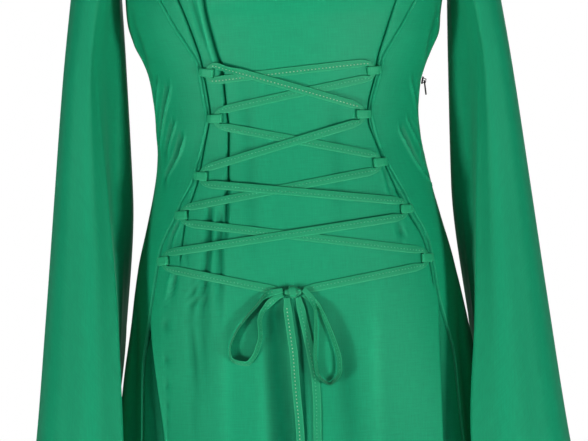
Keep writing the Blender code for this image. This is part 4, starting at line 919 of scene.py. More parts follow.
@dataclass
class BodyPanels(Piece):
    """The four panels of the body: front, two sides and back, with their tucks and creases."""
    wall: float = 0.0009
    seam_dip: float = 0.0014
    seam_reach: float = 0.0009
    front_seam: float = 0.5
    roll: tuple = (0.00070, 0.0022, 0.0009)     # height, distance from the seam, width
    row_step: float = 0.0023
    back_row_step: float = 0.0042
    seen: tuple = (-0.70, -0.262)
    skirt_rows: int = 34
    chest_rows: int = 14
    turn_rows: int = 18
    nape_share: float = 0.66
    nape_drop: float = 0.16
    # lift at which the painted shade of a trough is full, and the most painted highlight on a crest
    full_painted_shade: float = 0.0040
    crest_painted_highlight: float = -0.35
    tuck_gap: float = 0.0018
    front_counts: tuple = (24, 28, 40, 40, 28, 24)
    back_counts: tuple = (22, 38, 38, 22)
    side_columns: int = 113
    crowd_front: float = 0.85
    crowd_side: float = 0.6
    crowd_back: float = 0.5

    def levels(self, finest: float) -> Grid:
        """Rows from the hem to the shoulder: close together where the photograph looks, wide apart below."""
        foot, head = self.seen
        low = np.concatenate([[HEM, HEM + 0.0015], np.linspace(HEM + 0.012, foot - 0.02, self.skirt_rows)])
        mid = np.linspace(foot, head, int(round((head - foot) / finest)) + 1)
        chest = np.linspace(head + 0.01, FRONT_NECK, self.chest_rows)
        turn = np.linspace(math.asin(1 - FRONT_NECK / SHOULDER_Z), math.pi / 2, self.turn_rows + 1)[1:]
        top = SHOULDER_Z * (1 - np.sin(turn))
        nape = int(np.argmin(np.abs(top - BACK_NECK)))
        top[nape] = BACK_NECK
        top[-1] = 0.0
        return np.concatenate([low, mid, chest, top])

    @staticmethod
    def columns(rails: Grid, counts: tuple, crowd: float) -> Grid:
        """Bearings across a panel: the stretch between two rails is divided more closely near them."""
        parts = []
        for k, count in enumerate(counts):
            t = crowded(np.linspace(0.0, 1.0, count + 1)[:-1], crowd)
            parts.append(rails[:, k:k + 1] + (rails[:, k + 1:k + 2] - rails[:, k:k + 1]) * t)
        return np.concatenate(parts + [rails[:, -1:]], 1)

    def seam(self, distance: Grid, rolled: bool) -> Grid:
        """Dip of the cloth into a seam: -dip exp(-(s/r)^2), with a small roll beside it where asked for."""
        out = -self.seam_dip * bell(distance, self.seam_reach)
        if rolled:
            height, at, width = self.roll
            out = out + height * bell(distance - at, width)
        return out

    def painted_shading(self, lift: Grid) -> Grid:
        """Painted shading of the cloth: painted shade of 1 - exp(-depth / full) in a trough, painted
        highlight below nought on a crest.
        """
        crest = np.maximum(-lift / self.full_painted_shade, self.crest_painted_highlight)
        return np.where(lift < 0, 1 - np.exp(lift / self.full_painted_shade), crest)

    def build_panel(self, name: str, bearing: Grid, level: Grid, lift: Grid, present: Grid | None,
                    cut: CutSize) -> None:
        """Lays one panel: the torso's surface plus the lift along its normal, with a wall behind it."""
        base = Torso.point(bearing, level)
        normal = Torso.normal(bearing, level)
        walk = np.linalg.norm(np.diff(base, axis=1), axis=-1)
        u = np.concatenate([np.zeros((len(base), 1)), np.cumsum(walk, 1)], 1)
        u = u - u[:, [u.shape[1] // 2]]
        climb = np.linalg.norm(np.diff(base[:, base.shape[1] // 2], axis=0), axis=-1)
        v = np.concatenate([[0.0], np.cumsum(climb)])[:, None]
        outer = base + lift[..., None] * normal
        for edge, inside in ((0, 1), (-1, -2)):
            outer[:, edge] += unit(base[:, inside] - base[:, edge]) * SEAM_GAP / 2
        top = unit(base[-2] - base[-1]) * SEAM_GAP / 2
        outer[-1] += top if level[-1, 0] > -0.001 else 0.0
        flat = np.stack([u, v + 0 * u], -1)
        # The panel's colour carries painted shade in its troughs and painted highlight on its crests.
        obj = cloth_shell(name, outer, outer - self.wall * normal, flat, present, painted_shading=self.painted_shading(lift))
        width, length, area = sheet_facts(outer, present)
        LOG.info("%s: %.3f wide, %.3f long, %.4f m2", name, width, length, area)
        self.dress(obj, "cloth", (name.replace("_cloth", ""),), self.cloth)

    def front(self) -> None:
        """Front panel: rails on the seams, the two tucks and the slit, so that their edges are crisp."""
        z = self.levels(self.row_step)
        right, left, _ = Torso.edges(z)
        tuck_right = Torso.bearing_of(traced(RAIL_RIGHT, z), z)
        tuck_left = Torso.bearing_of(traced(RAIL_LEFT, z), z)
        tuck_right = np.maximum(tuck_right, -right + self.tuck_gap / Torso.pace(right, z))
        tuck_left = np.minimum(tuck_left, left - self.tuck_gap / Torso.pace(left, z))
        neck, (slit_x, slit_z) = neck_x(z), RAIL_SLIT[0]
        over = -neck + ((slit_x + neck) * eased((FRONT_NECK - z) / (FRONT_NECK - slit_z)))
        slit = Torso.bearing_of(np.where(z > slit_z, over, traced(RAIL_SLIT, z)), z)
        rails = np.stack([-right, tuck_right, slit, 0 * z, -slit, tuck_left, left], -1)
        counts = self.front_counts
        bearing = self.columns(rails, counts, self.crowd_front)
        level = z[:, None]
        lift = sum(c.height(bearing, level) for c in FRONT_CREASES)
        pace = Torso.pace(bearing, level)
        lift = lift + self.front_seam * self.seam((bearing + right[:, None]) * pace, False)
        lift = lift + self.front_seam * self.seam((left[:, None] - bearing) * pace, False)
        present = np.ones((len(z) - 1, bearing.shape[1] - 1), bool)
        neck_row = int(np.argmin(np.abs(z - FRONT_NECK)))
        present[neck_row:, counts[0] + counts[1]:-(counts[4] + counts[5])] = False
        self.build_panel("front_cloth", bearing, level, lift, present, CutSize(0.70, 1.51, 0.558))

    def sides(self) -> None:
        """Side panels from the laced seam to the side seam, up to the underarm."""
        z = self.levels(self.row_step)
        z = np.concatenate([z[z < UNDERARM - 0.004], [UNDERARM]])
        right, left, _ = Torso.edges(z)
        level = z[:, None]
        for name, edge, sign in (("side_right_cloth", right, -1), ("side_left_cloth", left, 1)):
            t = crowded(np.linspace(0.0, 1.0, self.side_columns), self.crowd_side)[None, :]
            bearing = sign * (edge[:, None] + (math.pi / 2 - edge[:, None]) * t)
            lift = sum(c.height(bearing, level) for c in SIDE_CREASES)
            pace = Torso.pace(bearing, level)
            lift = lift + self.seam((np.abs(bearing) - edge[:, None]) * pace, True)
            lift = lift + self.seam((math.pi / 2 - np.abs(bearing)) * pace, False)
            self.build_panel(name, bearing, level, lift, None, CutSize(0.25, 1.29, 0.150))

    def back(self) -> None:
        """Back panel, one piece from shoulder to hem, with the same kinds of creases."""
        z = self.levels(self.back_row_step)
        _, _, rear = Torso.edges(z)
        neck = np.arcsin(neck_x(z) / table(BODY, z))
        blend = eased((z - (BACK_NECK - self.nape_drop)) / self.nape_drop)
        inner = rear * self.nape_share + (neck - rear * self.nape_share) * blend
        rails = np.stack([-rear, -inner, 0 * z, inner, rear], -1)
        away = self.columns(rails, self.back_counts, self.crowd_back)
        level = z[:, None]
        bearing = math.pi - away
        lift = sum(c.height(bearing, level, True) for c in BACK_CREASES)
        lift = lift + self.seam((rear[:, None] - np.abs(away)) * Torso.pace(bearing, level), False)
        present = np.ones((len(z) - 1, away.shape[1] - 1), bool)
        edge = self.back_counts[0]
        present[int(np.argmin(np.abs(z - BACK_NECK))):, edge:-edge] = False
        self.build_panel("back_cloth", bearing, level, lift, present, CutSize(1.19, 1.51, 0.873))


@dataclass
class Sleeves(Piece):
    """The two trumpet sleeves, each one piece of cloth from the armhole to the flared hem."""
    wall: float = 0.0009
    columns: int = 156
    cap_rows: int = 22
    arm_rows: int = 118
    full_painted_shade: float = 0.020
    outer_forward: float = 0.006
    fold_forward: float = 0.009
    cap_reach: tuple = (0.010, 0.10, 0.045)     # out from the armhole: at least, and a share of the drop past
    cap_fall: tuple = (0.45, 0.022)             # above the first ring: a share of the drop, and at least

    @staticmethod
    def armhole(share: Grid) -> tuple[Grid, Grid]:
        """Bearing and level of the armhole's edge: down the front, under the arm and up the back."""
        angle = np.linspace(math.asin(1 - UNDERARM / SHOULDER_Z), math.pi / 2, UPPER_ROWS + 1)
        upper = SHOULDER_Z * (1 - np.sin(angle))
        upper[-1] = 0.0
        f = share * (2 * UPPER_ROWS + UNDER_STEPS)
        front, back = f < UPPER_ROWS, f > UPPER_ROWS + UNDER_STEPS
        steps = np.arange(UPPER_ROWS + 1)
        level = np.where(back, np.interp(f - UPPER_ROWS - UNDER_STEPS, steps, upper), UNDERARM)
        level = np.where(front, np.interp(f, steps, upper[::-1]), level)
        _, left, rear = Torso.edges(level)
        under = left + (math.pi / 2 - left) * np.clip((f - UPPER_ROWS) / UNDER_STEPS, 0, 1)
        return np.where(front, left, np.where(back, math.pi - rear, under)), level

    @classmethod
    def ring(cls, share: Grid, level: Grid, fold: float) -> Grid:
        """Points round the sleeve: a closed cubic through ten places, drawn straight at the front fold.

        Args:
            share: share of the round, from the outer side over the front.
            level: height of each point.
            fold: 1 for the wearer's right sleeve, whose front fold stands further out lower down.

        Returns:
            Points for the wearer's left side.
        """
        share, level = np.broadcast_arrays(share, level)
        levels = [row[0] for row in SLEEVE]
        points = np.array([row[1:] for row in SLEEVE])
        shift = table(RIGHT_FOLD, levels) * fold
        grown = eased((levels[0] - np.array(levels)) / 0.12)
        points[:, 1, 1] -= cls.outer_forward * grown
        points[:, 3, 1] -= cls.fold_forward * grown
        points[:, 3, 0] += shift
        points[:, 4, 0] += 0.3 * shift
        count = points.shape[1]
        places = np.stack([np.stack([smooth(level, levels, points[:, k, a]) for a in (0, 1)], -1)
                           for k in range(count)])
        at = (share % 1.0) * count
        k = np.floor(at).astype(int)
        t = (at - k)[..., None]
        rows, cols = np.indices(share.shape)
        p0, p1, p2, p3 = (places[(k + n) % count, rows, cols] for n in (-1, 0, 1, 2))
        curve = 0.5 * (2 * p1 + (p2 - p0) * t + (2 * p0 - 5 * p1 + 4 * p2 - p3) * t**2
                       + (3 * p1 - p0 - 3 * p2 + p3) * t**3)
        straight = p1 + (p2 - p1) * t
        crisp = 0.85 * bell(share - 0.3, 0.055) * eased((-0.27 - level) / 0.10)
        flat = curve + (straight - curve) * crisp[..., None]
        return np.concatenate([flat, level[..., None]], -1)

    @staticmethod
    def drapes(share: Grid, level: Grid) -> Grid:
        """Height of the long soft folds: bell curves round the sleeve that grow downwards."""
        down = eased((-0.24 - level) / 0.50)
        out = np.zeros(share.shape)
        for at, width, height, start in DRAPES:
            away = (share - at + 0.5) % 1.0 - 0.5
            out = out + height * bell(away, width) * (start + (1 - start) * down)
        return out * eased((-0.20 - level) / 0.12)

    def build(self) -> None:
        """Both sleeves: Bezier cap from the armhole to the first ring, then rings to the tilted hem."""
        share = np.arange(self.columns)[None, :] / self.columns
        bearing, level = self.armhole(share[0])
        start = Torso.point(bearing, level)
        facing = Torso.normal(bearing, level)
        away = unit(np.cross(way_round(start), facing))
        away = away if away[:, 0].sum() > 0 else -away
        start = start + away * SEAM_GAP
        top = SLEEVE[0][0]
        for name, sign in (("sleeve_left_cloth", 1), ("sleeve_right_cloth", -1)):
            fold = float(sign < 0)
            first = self.ring(share, np.full_like(share, top), fold)[0]
            drop = start[:, 2] - first[:, 2]
            least, share_out, past = self.cap_reach
            reach = least + share_out * np.clip(drop - past, 0.0, 0.2)
            second = start + away * reach[:, None]
            third = first + np.array([0.0, 0.0, 1.0]) * (self.cap_fall[0] * drop + self.cap_fall[1])[:, None]
            t = np.linspace(0.0, 1.0, self.cap_rows + 1)[:-1, None, None]
            cap = start * (1 - t)**3 + 3 * second * t * (1 - t)**2 + 3 * third * t**2 * (1 - t) + first * t**3
            hem = SLEEVE_HEM + SLEEVE_HEM_TILT * np.sin(2 * math.pi * share)
            s = np.concatenate([np.linspace(0.0, 0.985, self.arm_rows), [0.9975, 1.0]])[:, None]
            arm = self.ring(share, top + (hem - top) * s, fold)
            outer = np.concatenate([cap, arm])
            around = np.roll(outer, -1, axis=1) - np.roll(outer, 1, axis=1)
            normal = unit(np.cross(np.gradient(outer, axis=0), around))
            middle = outer.mean(axis=1, keepdims=True)
            if np.sum((normal * (outer - middle))[self.cap_rows + 8:]) < 0:
                normal = -normal
            normal[0] = facing
            lift = self.drapes(share + 0 * outer[..., 2], outer[..., 2])
            outer = outer + lift[..., None] * normal
            inner = outer - self.wall * normal
            mirror = np.array([sign, 1.0, 1.0])
            outer, inner = outer * mirror, inner * mirror
            walk = np.linalg.norm(np.diff(outer, axis=0), axis=-1)
            v = np.concatenate([np.zeros((1, self.columns)), np.cumsum(walk, 0)])
            girth = np.linalg.norm(np.roll(outer, -1, axis=1) - outer, axis=-1).mean(0)
            u = np.concatenate([[0.0], np.cumsum(girth)[:-1]])[None, :] + 0 * v
            # The sleeve's colour carries painted shade in the troughs of its drapes.
            obj = cloth_shell(name, outer, inner, np.stack([u, v], -1), None, True,
                              np.clip(-lift / self.full_painted_shade, 0, 1))
            width, length, area = sheet_facts(outer, None, True)
            LOG.info("%s: %.3f round, %.3f long, %.4f m2", name, width, length, area)
            self.dress(obj, "cloth", (name.replace("_cloth", ""),), self.cloth)


def ribbon_grid(centre: Grid, across: Grid, outward: Grid, width: Grid, thick: Grid, corner: int = 3,
                ) -> tuple[Grid, Grid, Grid]:
    """Closed rounded band swept along a line.

    The profile is a flat oval: across is w/2 sgn(c)|c|^0.45 and outwards t/2 sgn(s)|s|^0.7 for c and s the
    cosine and sine round it.

    Returns:
        Points, rows along and columns round, each point's place on the flat cloth, and its painted shading:
        painted shade round the back, painted highlight along the folded edges.
    """
    a = (np.arange(8 * corner) + 0.5) * 2 * math.pi / (8 * corner)
    c, s = np.cos(a), np.sin(a)
    wide, high = signed_power(c, 0.45), signed_power(s, 0.7)
    grid = (centre[:, None] + across[:, None] * (wide[None, :, None] * width[:, None, None] / 2)
            + outward[:, None] * (high[None, :, None] * thick[:, None, None] / 2))
    v = run_length(centre)[:, None] + 0 * wide[None, :]
    u = 0.5 * wide[None, :] * width[:, None] + 0.01 * (high[None, :] < 0)
    # Painted highlight along the folded edges of the top face and painted shade round the back.
    painted_edge_highlight = 0.40 * bell(np.abs(wide) - 0.86, 0.08) * (high > 0)
    painted_shading = np.clip(0.65 - high, 0.0, 1.0) - painted_edge_highlight
    return grid, np.stack([u, v], -1), painted_shading + 0 * v


def ribbon(name: str, grid: Grid, flat: Grid, painted_shading: Grid | None = None) -> bpy.types.Object:
    """Mesh of a closed band: quads round it and one face across each end."""
    rows, cols = grid.shape[:2]
    i, j = np.indices((rows - 1, cols))
    k = (j + 1) % cols
    quads = np.stack([i * cols + j, i * cols + k, (i + 1) * cols + k, (i + 1) * cols + j], -1).reshape(-1, 4)
    ends = [np.arange(cols)[None, ::-1], (np.arange(cols) + (rows - 1) * cols)[None, :]]
    verts = grid.reshape(-1, 3)
    middle = grid[rows // 2].mean(0)
    q = quads[(rows // 2) * cols]
    facing = np.cross(verts[q[1]] - verts[q[0]], verts[q[3]] - verts[q[0]])
    faces = [quads] + ends
    if np.dot(facing, verts[q[0]] - middle) < 0:
        faces = [f[:, ::-1] for f in faces]
    return put_mesh(name, verts, faces, flat.reshape(-1, 2), 60.0, None if painted_shading is None else painted_shading.ravel())


class Stitches:
    """Rows of small thread stitches, gathered and made into one mesh at the end."""
    sides = 5
    along = np.array([-1.0, -0.55, 0.55, 1.0])
    swell = np.array([0.25, 1.0, 1.0, 0.25])

    def __init__(self) -> None:
        """Starts with no stitches."""
        self.parts: list[Grid] = []

    def add(self, at: Grid, along: Grid, out: Grid, size: tuple) -> None:
        """Adds one stitch a place: a short rod of five sides, thinner at its ends and half sunk in the cloth.

        Args:
            at: middles of the stitches.
            along: direction of each stitch.
            out: direction out of the cloth.
            size: length, width and height of a stitch.
        """
        length, width, height = size
        side = unit(np.cross(along, out))
        t, r = self.along[:, None, None], self.swell[:, None, None]
        a = (np.arange(self.sides) * 2 * math.pi / self.sides + 0.3)[None, :, None]
        body = (at[:, None, None] + along[:, None, None] * (t * length / 2)
                + side[:, None, None] * (r * np.cos(a) * width / 2)
                + out[:, None, None] * (r * np.sin(a) * height))
        self.parts.append(body)

    def build(self, name: str, piece: Piece, finish: bpy.types.Material, slot: str) -> None:
        """Makes every stitch into one mesh: quads round each and a face at each end."""
        body = np.concatenate(self.parts)
        count = len(body)
        n, rings = self.sides, len(self.along)
        i, j = np.indices((rings - 1, n))
        k = (j + 1) % n
        quads = np.stack([i * n + j, (i + 1) * n + j, (i + 1) * n + k, i * n + k], -1).reshape(-1, 4)
        shift = (np.arange(count) * rings * n)[:, None, None]
        first, last = np.arange(n)[None, None], np.arange((rings - 1) * n, rings * n)[None, None, ::-1]
        faces = [(quads[None] + shift).reshape(-1, 4), (first + shift).reshape(-1, n),
                 (last + shift).reshape(-1, n)]
        obj = put_mesh(name, body.reshape(-1, 3), faces, None, 180.0)
        piece.dress(obj, slot, (), finish)


def loop_frame(name: str) -> tuple[Grid, Grid, Grid]:
    """Seam point of a loop, direction towards the middle and direction along its eye, in x and level."""
    level, sign, slant = LOOPS[name]
    x = sign * float(table(FRONT_EDGE, np.array(level), 2 if sign > 0 else 1))
    normal = Torso.normal(Torso.bearing_of(np.array([x]), np.array([level])), np.array([level]))[0]
    lean = abs(float(normal[1]))
    a = math.radians(slant)
    return (np.array([x, level]), np.array([-sign * math.cos(a) * lean, math.sin(a)]),
            np.array([sign * math.sin(a) * lean, math.cos(a)]))


@dataclass
class Loops(Piece):
    """Ten loops: each a soft strip folded to an eye, its ends caught in the laced seam."""
    length: float = 0.0150
    width: float = 0.0082
    strip: float = 0.0014
    eye: float = 0.00225

    def build(self) -> None:
        """Carries a rounded strip along the folded path, a little wider at the fold than at the seam."""
        low = SEAM_GAP + self.strip / 2
        high = 2 * self.eye - low
        turn = (high - low) / 2
        bend = self.length - turn - 0.0005
        under = [(0.0002, low - 0.0003), (0.0045, low), (0.0090, low), (bend, low)]
        round_fold = [(bend + turn * math.cos(v), self.eye + turn * math.sin(v))
                      for v in np.radians(np.array([-60, -30, 0, 30, 60]))]
        over = [(bend, high), (0.0090, high), (0.0048, high - 0.0001), (0.0024, high - 0.0008),
                (0.0004, low + 0.0010)]
        path = resampled(np.array(under + round_fold + over), 0.0006)
        s = run_length(path)
        for name in LOOPS:
            origin, run, eye = loop_frame(name)
            flat = origin + path[:, :1] * run
            points, _ = Torso.over_front(flat[:, 0], flat[:, 1], path[:, 1])
            near = flat + 0.002 * eye
            across = unit(Torso.over_front(near[:, 0], near[:, 1], path[:, 1])[0] - points)
            tangent = unit(np.gradient(points, axis=0))
            outward = unit(np.cross(tangent, across))
            width = self.width * (0.93 + 0.07 * np.sin(math.pi * np.clip(s / s[-1], 0, 1)))
            grid, uv, _ = ribbon_grid(points, across, outward, width, np.full(len(s), self.strip), 2)
            self.dress(ribbon(name + "_cloth", grid, uv), "cloth", (name,), self.cloth)


@dataclass
class Lace(Piece):
    """The flat lace: stretches between the loops, runs, knot, bow and tails, with its stitches."""
    width: float = 0.0080
    thick: float = 0.0012
    in_eye: float = 0.0044
    eye_at: float = 0.0086
    eye_height: float = 0.00225
    loop_width: float = 0.0082
    radius: float = 0.0062
    stitch_pitch: float = 0.0034
    gathered: float = 0.0060
    settles: float = 0.0090
    spreads: float = 0.0110
    bow_heights: tuple = (0.0052, 0.0024)           # over the panel, and how far it falls by the second end
    bow_tilt: float = 64.0                          # in degrees from lying flat
    bow_end: float = 0.0050                         # width where the bow enters the knot
    run_end: float = 0.0025                         # how much narrower a run is at the knot
    tail_end: float = 0.0056
    first_twist: tuple = (38.0, 0.024, 0.010)       # degrees, distance from the first loop, reach
    knot_rise: float = 0.0040
    knot_half: tuple = (0.0080, 0.0036, 0.0046)     # half the knot's length, depth and height
    knot_rings: int = 40
    knot_sides: int = 44
    wrap_half: tuple = (0.0040, 0.0052)             # half the wrap's depth and height
    wrap_width: float = 0.0060
    wrap_thick: float = 0.0009
    wrap_rows: int = 49

    def __post_init__(self) -> None:
        """Starts the two rows of stitches: a lit copy of the thread, painted light, and an unlit copy painted
        in shade so that it all but matches the cloth.
        """
        self.bright, self.unlit_stitches = Stitches(), Stitches()

    def rounded(self, corners: tuple) -> Grid:
        """Flat line whose inner corners are arcs of the turn's radius, cut into short steps."""
        corners = [np.array(c, float) for c in corners]
        out = [corners[0]]
        for before, at, after in zip(corners, corners[1:], corners[2:]):
            one, two = unit(before - at), unit(after - at)
            angle = math.acos(float(np.clip(np.dot(one, two), -1, 1)))
            leg = min(np.linalg.norm(before - at), np.linalg.norm(after - at))
            reach = min(self.radius / math.tan(angle / 2), 0.92 * leg)
            r = reach * math.tan(angle / 2)
            centre = at + unit(one + two) * r / math.sin(angle / 2)
            a, b = at + one * reach - centre, at + two * reach - centre
            sweep = math.acos(float(np.clip(np.dot(a, b) / r**2, -1, 1)))
            t = np.linspace(0, 1, 9)[:, None]
            out.extend(centre + (a * np.sin((1 - t) * sweep) + b * np.sin(t * sweep)) / math.sin(sweep))
        out.append(corners[-1])
        points = np.array(out)
        keep = np.concatenate([[True], np.linalg.norm(np.diff(points, axis=0), axis=1) > 1e-6])
        points = points[keep]
        s = run_length(points)
        at = np.unique(np.concatenate([s, np.arange(0, s[-1], 0.0016)]))
        at = at[np.concatenate([[True], np.diff(at) > 2e-4])]
        return np.stack([np.interp(at, s, points[:, 0]), np.interp(at, s, points[:, 1])], -1)

    def leave(self, frame: tuple, end: int, towards: Grid) -> tuple[Grid, Grid]:
        """Ends of the short leg inside a loop: the eye's middle and where the lace turns clear of it."""
        origin, run, eye = frame
        middle, along = origin + run * self.eye_at, eye * end
        turn = 0.006
        for _ in range(4):
            way = unit(towards - (middle + along * turn))
            out = float(np.dot(way, unit(along)))
            cosine = math.sqrt(1.0 - out * out)
            clear = self.in_eye / 2 + SEAM_GAP + 0.0006
            turn = self.loop_width / 2 + max((clear - corner * out) / cosine for corner in (0.0030, 0.0067))
            turn = min(turn, 0.0100)
        return middle + along * SEAM_GAP / 2, middle + along * turn

    def through_eye(self, away: Grid, height: float) -> tuple[Grid, Grid]:
        """Height over the panel and width of a stretch, by distance from the eye that it is gathered in."""
        heights = self.eye_height + (height - self.eye_height) * eased((away - self.gathered) / self.settles)
        widths = self.in_eye + (self.width - self.in_eye) * eased((away - self.gathered) / self.spreads)
        return heights, widths

    def lay(self, name: str, flat: Grid, heights: Grid, widths: Grid, tilt: Grid,
            cord: dict | None = None) -> None:
        """Lays one stretch over the front: a ribbon along it, turned by the tilt, with stitches on its face.

        Args:
            name: the solid that it stands for.
            flat: x and level along it.
            heights, widths, tilt: height over the panel, width and turn on its own line at each point.
            cord: facts of a free piece, or None; not used.
        """
        points, normals = Torso.over_front(flat[:, 0], flat[:, 1], heights)
        tangent = unit(np.gradient(points, axis=0))
        across = unit(np.cross(normals, tangent))
        outward = unit(np.cross(tangent, across))
        turned = np.cos(tilt)[:, None] * across + np.sin(tilt)[:, None] * outward
        facing = np.cos(tilt)[:, None] * outward - np.sin(tilt)[:, None] * across
        # The lace carries painted shade round its back and painted highlight along its edges.
        grid, uv, painted_shading = ribbon_grid(points, turned, facing, widths, np.full(len(flat), self.thick), 3)
        obj = ribbon(name + "_cloth", grid, uv, painted_shading)
        self.dress(obj, "lace", (name,), self.cloth)
        s = run_length(points)
        at = np.arange(0.010, s[-1] - 0.008, self.stitch_pitch)
        if len(at):
            stitches = self.bright if name in BRIGHT_ROWS else self.unlit_stitches

            def place(field: Grid) -> Grid:
                """Value of a field at each stitch, by straight lines between its points."""
                return np.stack([np.interp(at, s, field[:, k]) for k in range(3)], -1)

            face = unit(place(facing))
            seat = place(points) + unit(place(turned)) * (-0.07 * np.interp(at, s, widths))[:, None]
            stitches.add(seat + face * (self.thick / 2 * 0.93), unit(place(tangent)), face, LACE_STITCH)

    def crossings(self) -> None:
        """The nine stretches between the loops and the two runs to the knot."""
        frames = {name: loop_frame(name) for name in LOOPS}
        for name, one, end_one, two, end_two, height in STRETCHES:
            eyes = [frames[loop][0] + frames[loop][1] * self.eye_at for loop in (one, two)]
            first = self.leave(frames[one], end_one, eyes[1] + frames[two][2] * end_two * 0.006)
            last = self.leave(frames[two], end_two, eyes[0] + frames[one][2] * end_one * 0.006)
            path = self.rounded((first[0], first[1], last[1], last[0]))
            s = run_length(path)
            heights, widths = self.through_eye(np.minimum(s, s[-1] - s), height)
            tilt = 0 * s
            if name == "lace_upper_1":
                turn, at, reach = self.first_twist
                tilt = math.radians(turn) * bell(s - at, reach)
            self.lay(name, path, heights, widths, tilt)
        for name, loop, end, x, z in KNOT_RUNS:
            inside, turn = self.leave(frames[loop], end, np.array((x, z)))
            path = self.rounded((inside, turn, (x, z)))
            s = run_length(path)
            heights, widths = self.through_eye(s, LOW)
            widths = widths - self.run_end * eased((s - s[-1] + 0.012) / 0.012)
            self.lay(name, path, heights, widths, 0 * s)

    def free_pieces(self) -> None:
        """Bow and tails: the photograph's free ends, lying down the skirt from the knot."""
        for name, route, side in (("bow_right", BOW_RIGHT, 1), ("bow_left", BOW_LEFT, -1)):
            path = resampled(np.array(route), 0.0014)
            s = run_length(path)
            heights = self.bow_heights[0] - self.bow_heights[1] * eased((s - s[-1] + 0.030) / 0.024)
            ends = np.minimum(s, s[-1] - s)
            tilt = math.radians(self.bow_tilt) * eased((ends - 0.006) / 0.018) * side
            widths = self.bow_end + (self.width - self.bow_end) * eased(ends / 0.020)
            self.lay(name, path, heights, widths, tilt, {"far_end": "object", "lay": "hanging"})
        for name, route in (("tail_right", TAIL_RIGHT), ("tail_left", TAIL_LEFT)):
            path = resampled(np.array(route), 0.0022)
            s = run_length(path)
            heights = LOW + 0.0006 * (1 - eased(s / 0.010)) + 0.0016 * eased((s - 0.140) / 0.080)
            widths = self.tail_end + (self.width - self.tail_end) * eased(s / 0.012)
            self.lay(name, path, heights, widths, 0 * s, {"far_end": "bare", "lay": "hanging"})

    def knot(self) -> None:
        """The knot, facing out of the front: its core, then the lace wrapped over its middle."""
        base, normal = Torso.over_front(*(np.array([v]) for v in (*KNOT_AT, self.knot_rise)))
        base, normal = base[0], normal[0]
        up = unit(np.array([0.0, 0.0, 1.0]) - normal * normal[2])
        side = np.cross(up, -normal)
        self.knot_core(base, side, up, normal)
        self.knot_wrap(base, side, up, normal)

    def knot_core(self, base: Grid, side: Grid, up: Grid, normal: Grid) -> None:
        """A soft lump of rounded rings, pinched twice along its length and rippled round it."""
        half, deep, tall = self.knot_half
        a = np.linspace(0.04, math.pi - 0.04, self.knot_rings)[:, None]
        b = (np.arange(self.knot_sides) * 2 * math.pi / self.knot_sides)[None, :]
        pinch = 1.0 + 0.13 * np.cos(4 * (a - math.pi / 2)) + 0.03 * np.sin(3 * b + 2 * a)
        r = np.sin(a) ** 0.62 * pinch / 1.13
        wide = np.cos(a) * half
        out = signed_power(np.cos(b), 0.75) * r * deep
        rise = signed_power(np.sin(b), 0.75) * r * (tall + 0.0006 * np.sin(2 * a))
        grid = base - side * wide[..., None] + normal * out[..., None] + up * rise[..., None]
        flat = np.stack([a * 0.004 + 0 * b, b * 0.004 + 0 * a], -1)
        self.dress(ribbon("knot_cloth", grid, flat), "lace", ("knot",), self.cloth)

    def knot_wrap(self, base: Grid, side: Grid, up: Grid, normal: Grid) -> None:
        """A band round the core, leaning a little to one side as it goes over."""
        rows = self.wrap_rows
        turn = np.linspace(0, 2 * math.pi, rows)
        c, s = np.cos(turn), np.sin(turn)
        deep, tall = (signed_power(v, 0.8) * size for v, size in zip((c, s), self.wrap_half))
        ring = base + side * (0.0004 + 0.0010 * s)[:, None] + normal * deep[:, None] + up * tall[:, None]
        tangent = way_round(ring[:-1])
        tangent = np.concatenate([tangent, tangent[:1]])
        across = unit(np.cross(unit(ring - base), tangent))
        out = unit(np.cross(tangent, across))
        width = self.wrap_width + 0.0008 * np.cos(2 * turn)
        grid, uv, _ = ribbon_grid(ring, across, out, width, np.full(rows, self.wrap_thick), 2)
        wrap = cloth_shell("knot_wrap", grid[:, :8], grid[:, 8:][:, ::-1], uv[:, :8])
        self.dress(wrap, "lace", (), self.cloth)


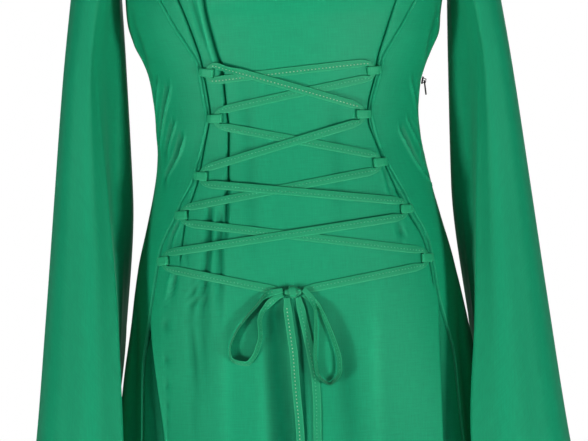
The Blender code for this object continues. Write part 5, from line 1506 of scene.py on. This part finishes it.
@dataclass
class Sewing(Piece):
    """Stitches of the laced seams and of the skirt's hem."""
    thread: bpy.types.Material = None
    seam_rows: tuple = (-0.345, -0.235, 0.0042)     # lowest and highest level, and the pitch
    beside: float = 0.0021
    hem_pitch: float = 0.0135                       # in radians round the hem
    over_hem: float = 0.020

    def build(self) -> None:
        """Gathers the rows of stitches and makes them one mesh."""
        rows = Stitches()
        z = np.arange(*self.seam_rows)
        for index, sign in ((1, -1), (2, 1)):
            x = sign * (table(FRONT_EDGE, z, index) + self.beside)
            at, out = Torso.over_front(x, z, np.full(len(z), 0.0003))
            rows.add(at, unit(np.gradient(at, axis=0)), out, SEAM_STITCH)
        a = np.arange(0, 2 * math.pi, self.hem_pitch)
        level = np.full(len(a), HEM + self.over_hem)
        at, out = Torso.point(a, level), Torso.normal(a, level)
        rows.add(at, way_round(at), out, HEM_STITCH)
        rows.build("seam_stitches", self, self.thread, "cloth")


def main() -> None:
    """Loads the frame, builds camera, finishes, lace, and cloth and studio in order."""
    logging.basicConfig(level=logging.INFO, format="%(name)s %(message)s")
    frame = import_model()
    studio = Studio()
    studio.camera()
    cloth = Crepe().make()
    lace_cloth = Crepe("lace_crepe", (0.0085, 0.2800, 0.1220), 0.60, 0.080, 0.16, 0.24).make()
    # The loops take a lighter copy of the cloth: painted light that lifts them out of the shade they lie in.
    loop_cloth_painted_lighter = Crepe("loop_crepe_painted_lighter", (0.0110, 0.3300, 0.1450), 0.60, 0.080, 0.16, 0.24).make()
    thread = Thread().make()
    metal = Lacquer().make()

    lace = Lace(lace_cloth)
    lace.free_pieces()
    lace.crossings()
    lace.knot()
    lace.bright.build("lace_stitches", lace, thread, "lace")
    # The unlit thread is a shaded copy of the thread, painted to all but match the cloth.
    unlit_thread = Thread("unlit_thread", (0.035, 0.370, 0.185)).make()
    lace.unlit_stitches.build("lace_stitches_faint", lace, unlit_thread, "lace")
    Loops(loop_cloth_painted_lighter).build()

    panels = BodyPanels(cloth)
    panels.front()
    panels.sides()
    panels.back()
    Sleeves(cloth).build()
    Sewing(cloth, thread=thread).build()

    for name in ("zip_slider", "zip_pull"):
        node = frame["nodes"][name]
        node.data.materials.clear()
        node.data.materials.append(metal)
        LOG.info("%s: kept, with dark lacquer", name)

    studio.world(0.06)
    studio.floor()
    for row in LIGHTS:
        studio.light(*row)


if __name__ == "__main__":
    main()
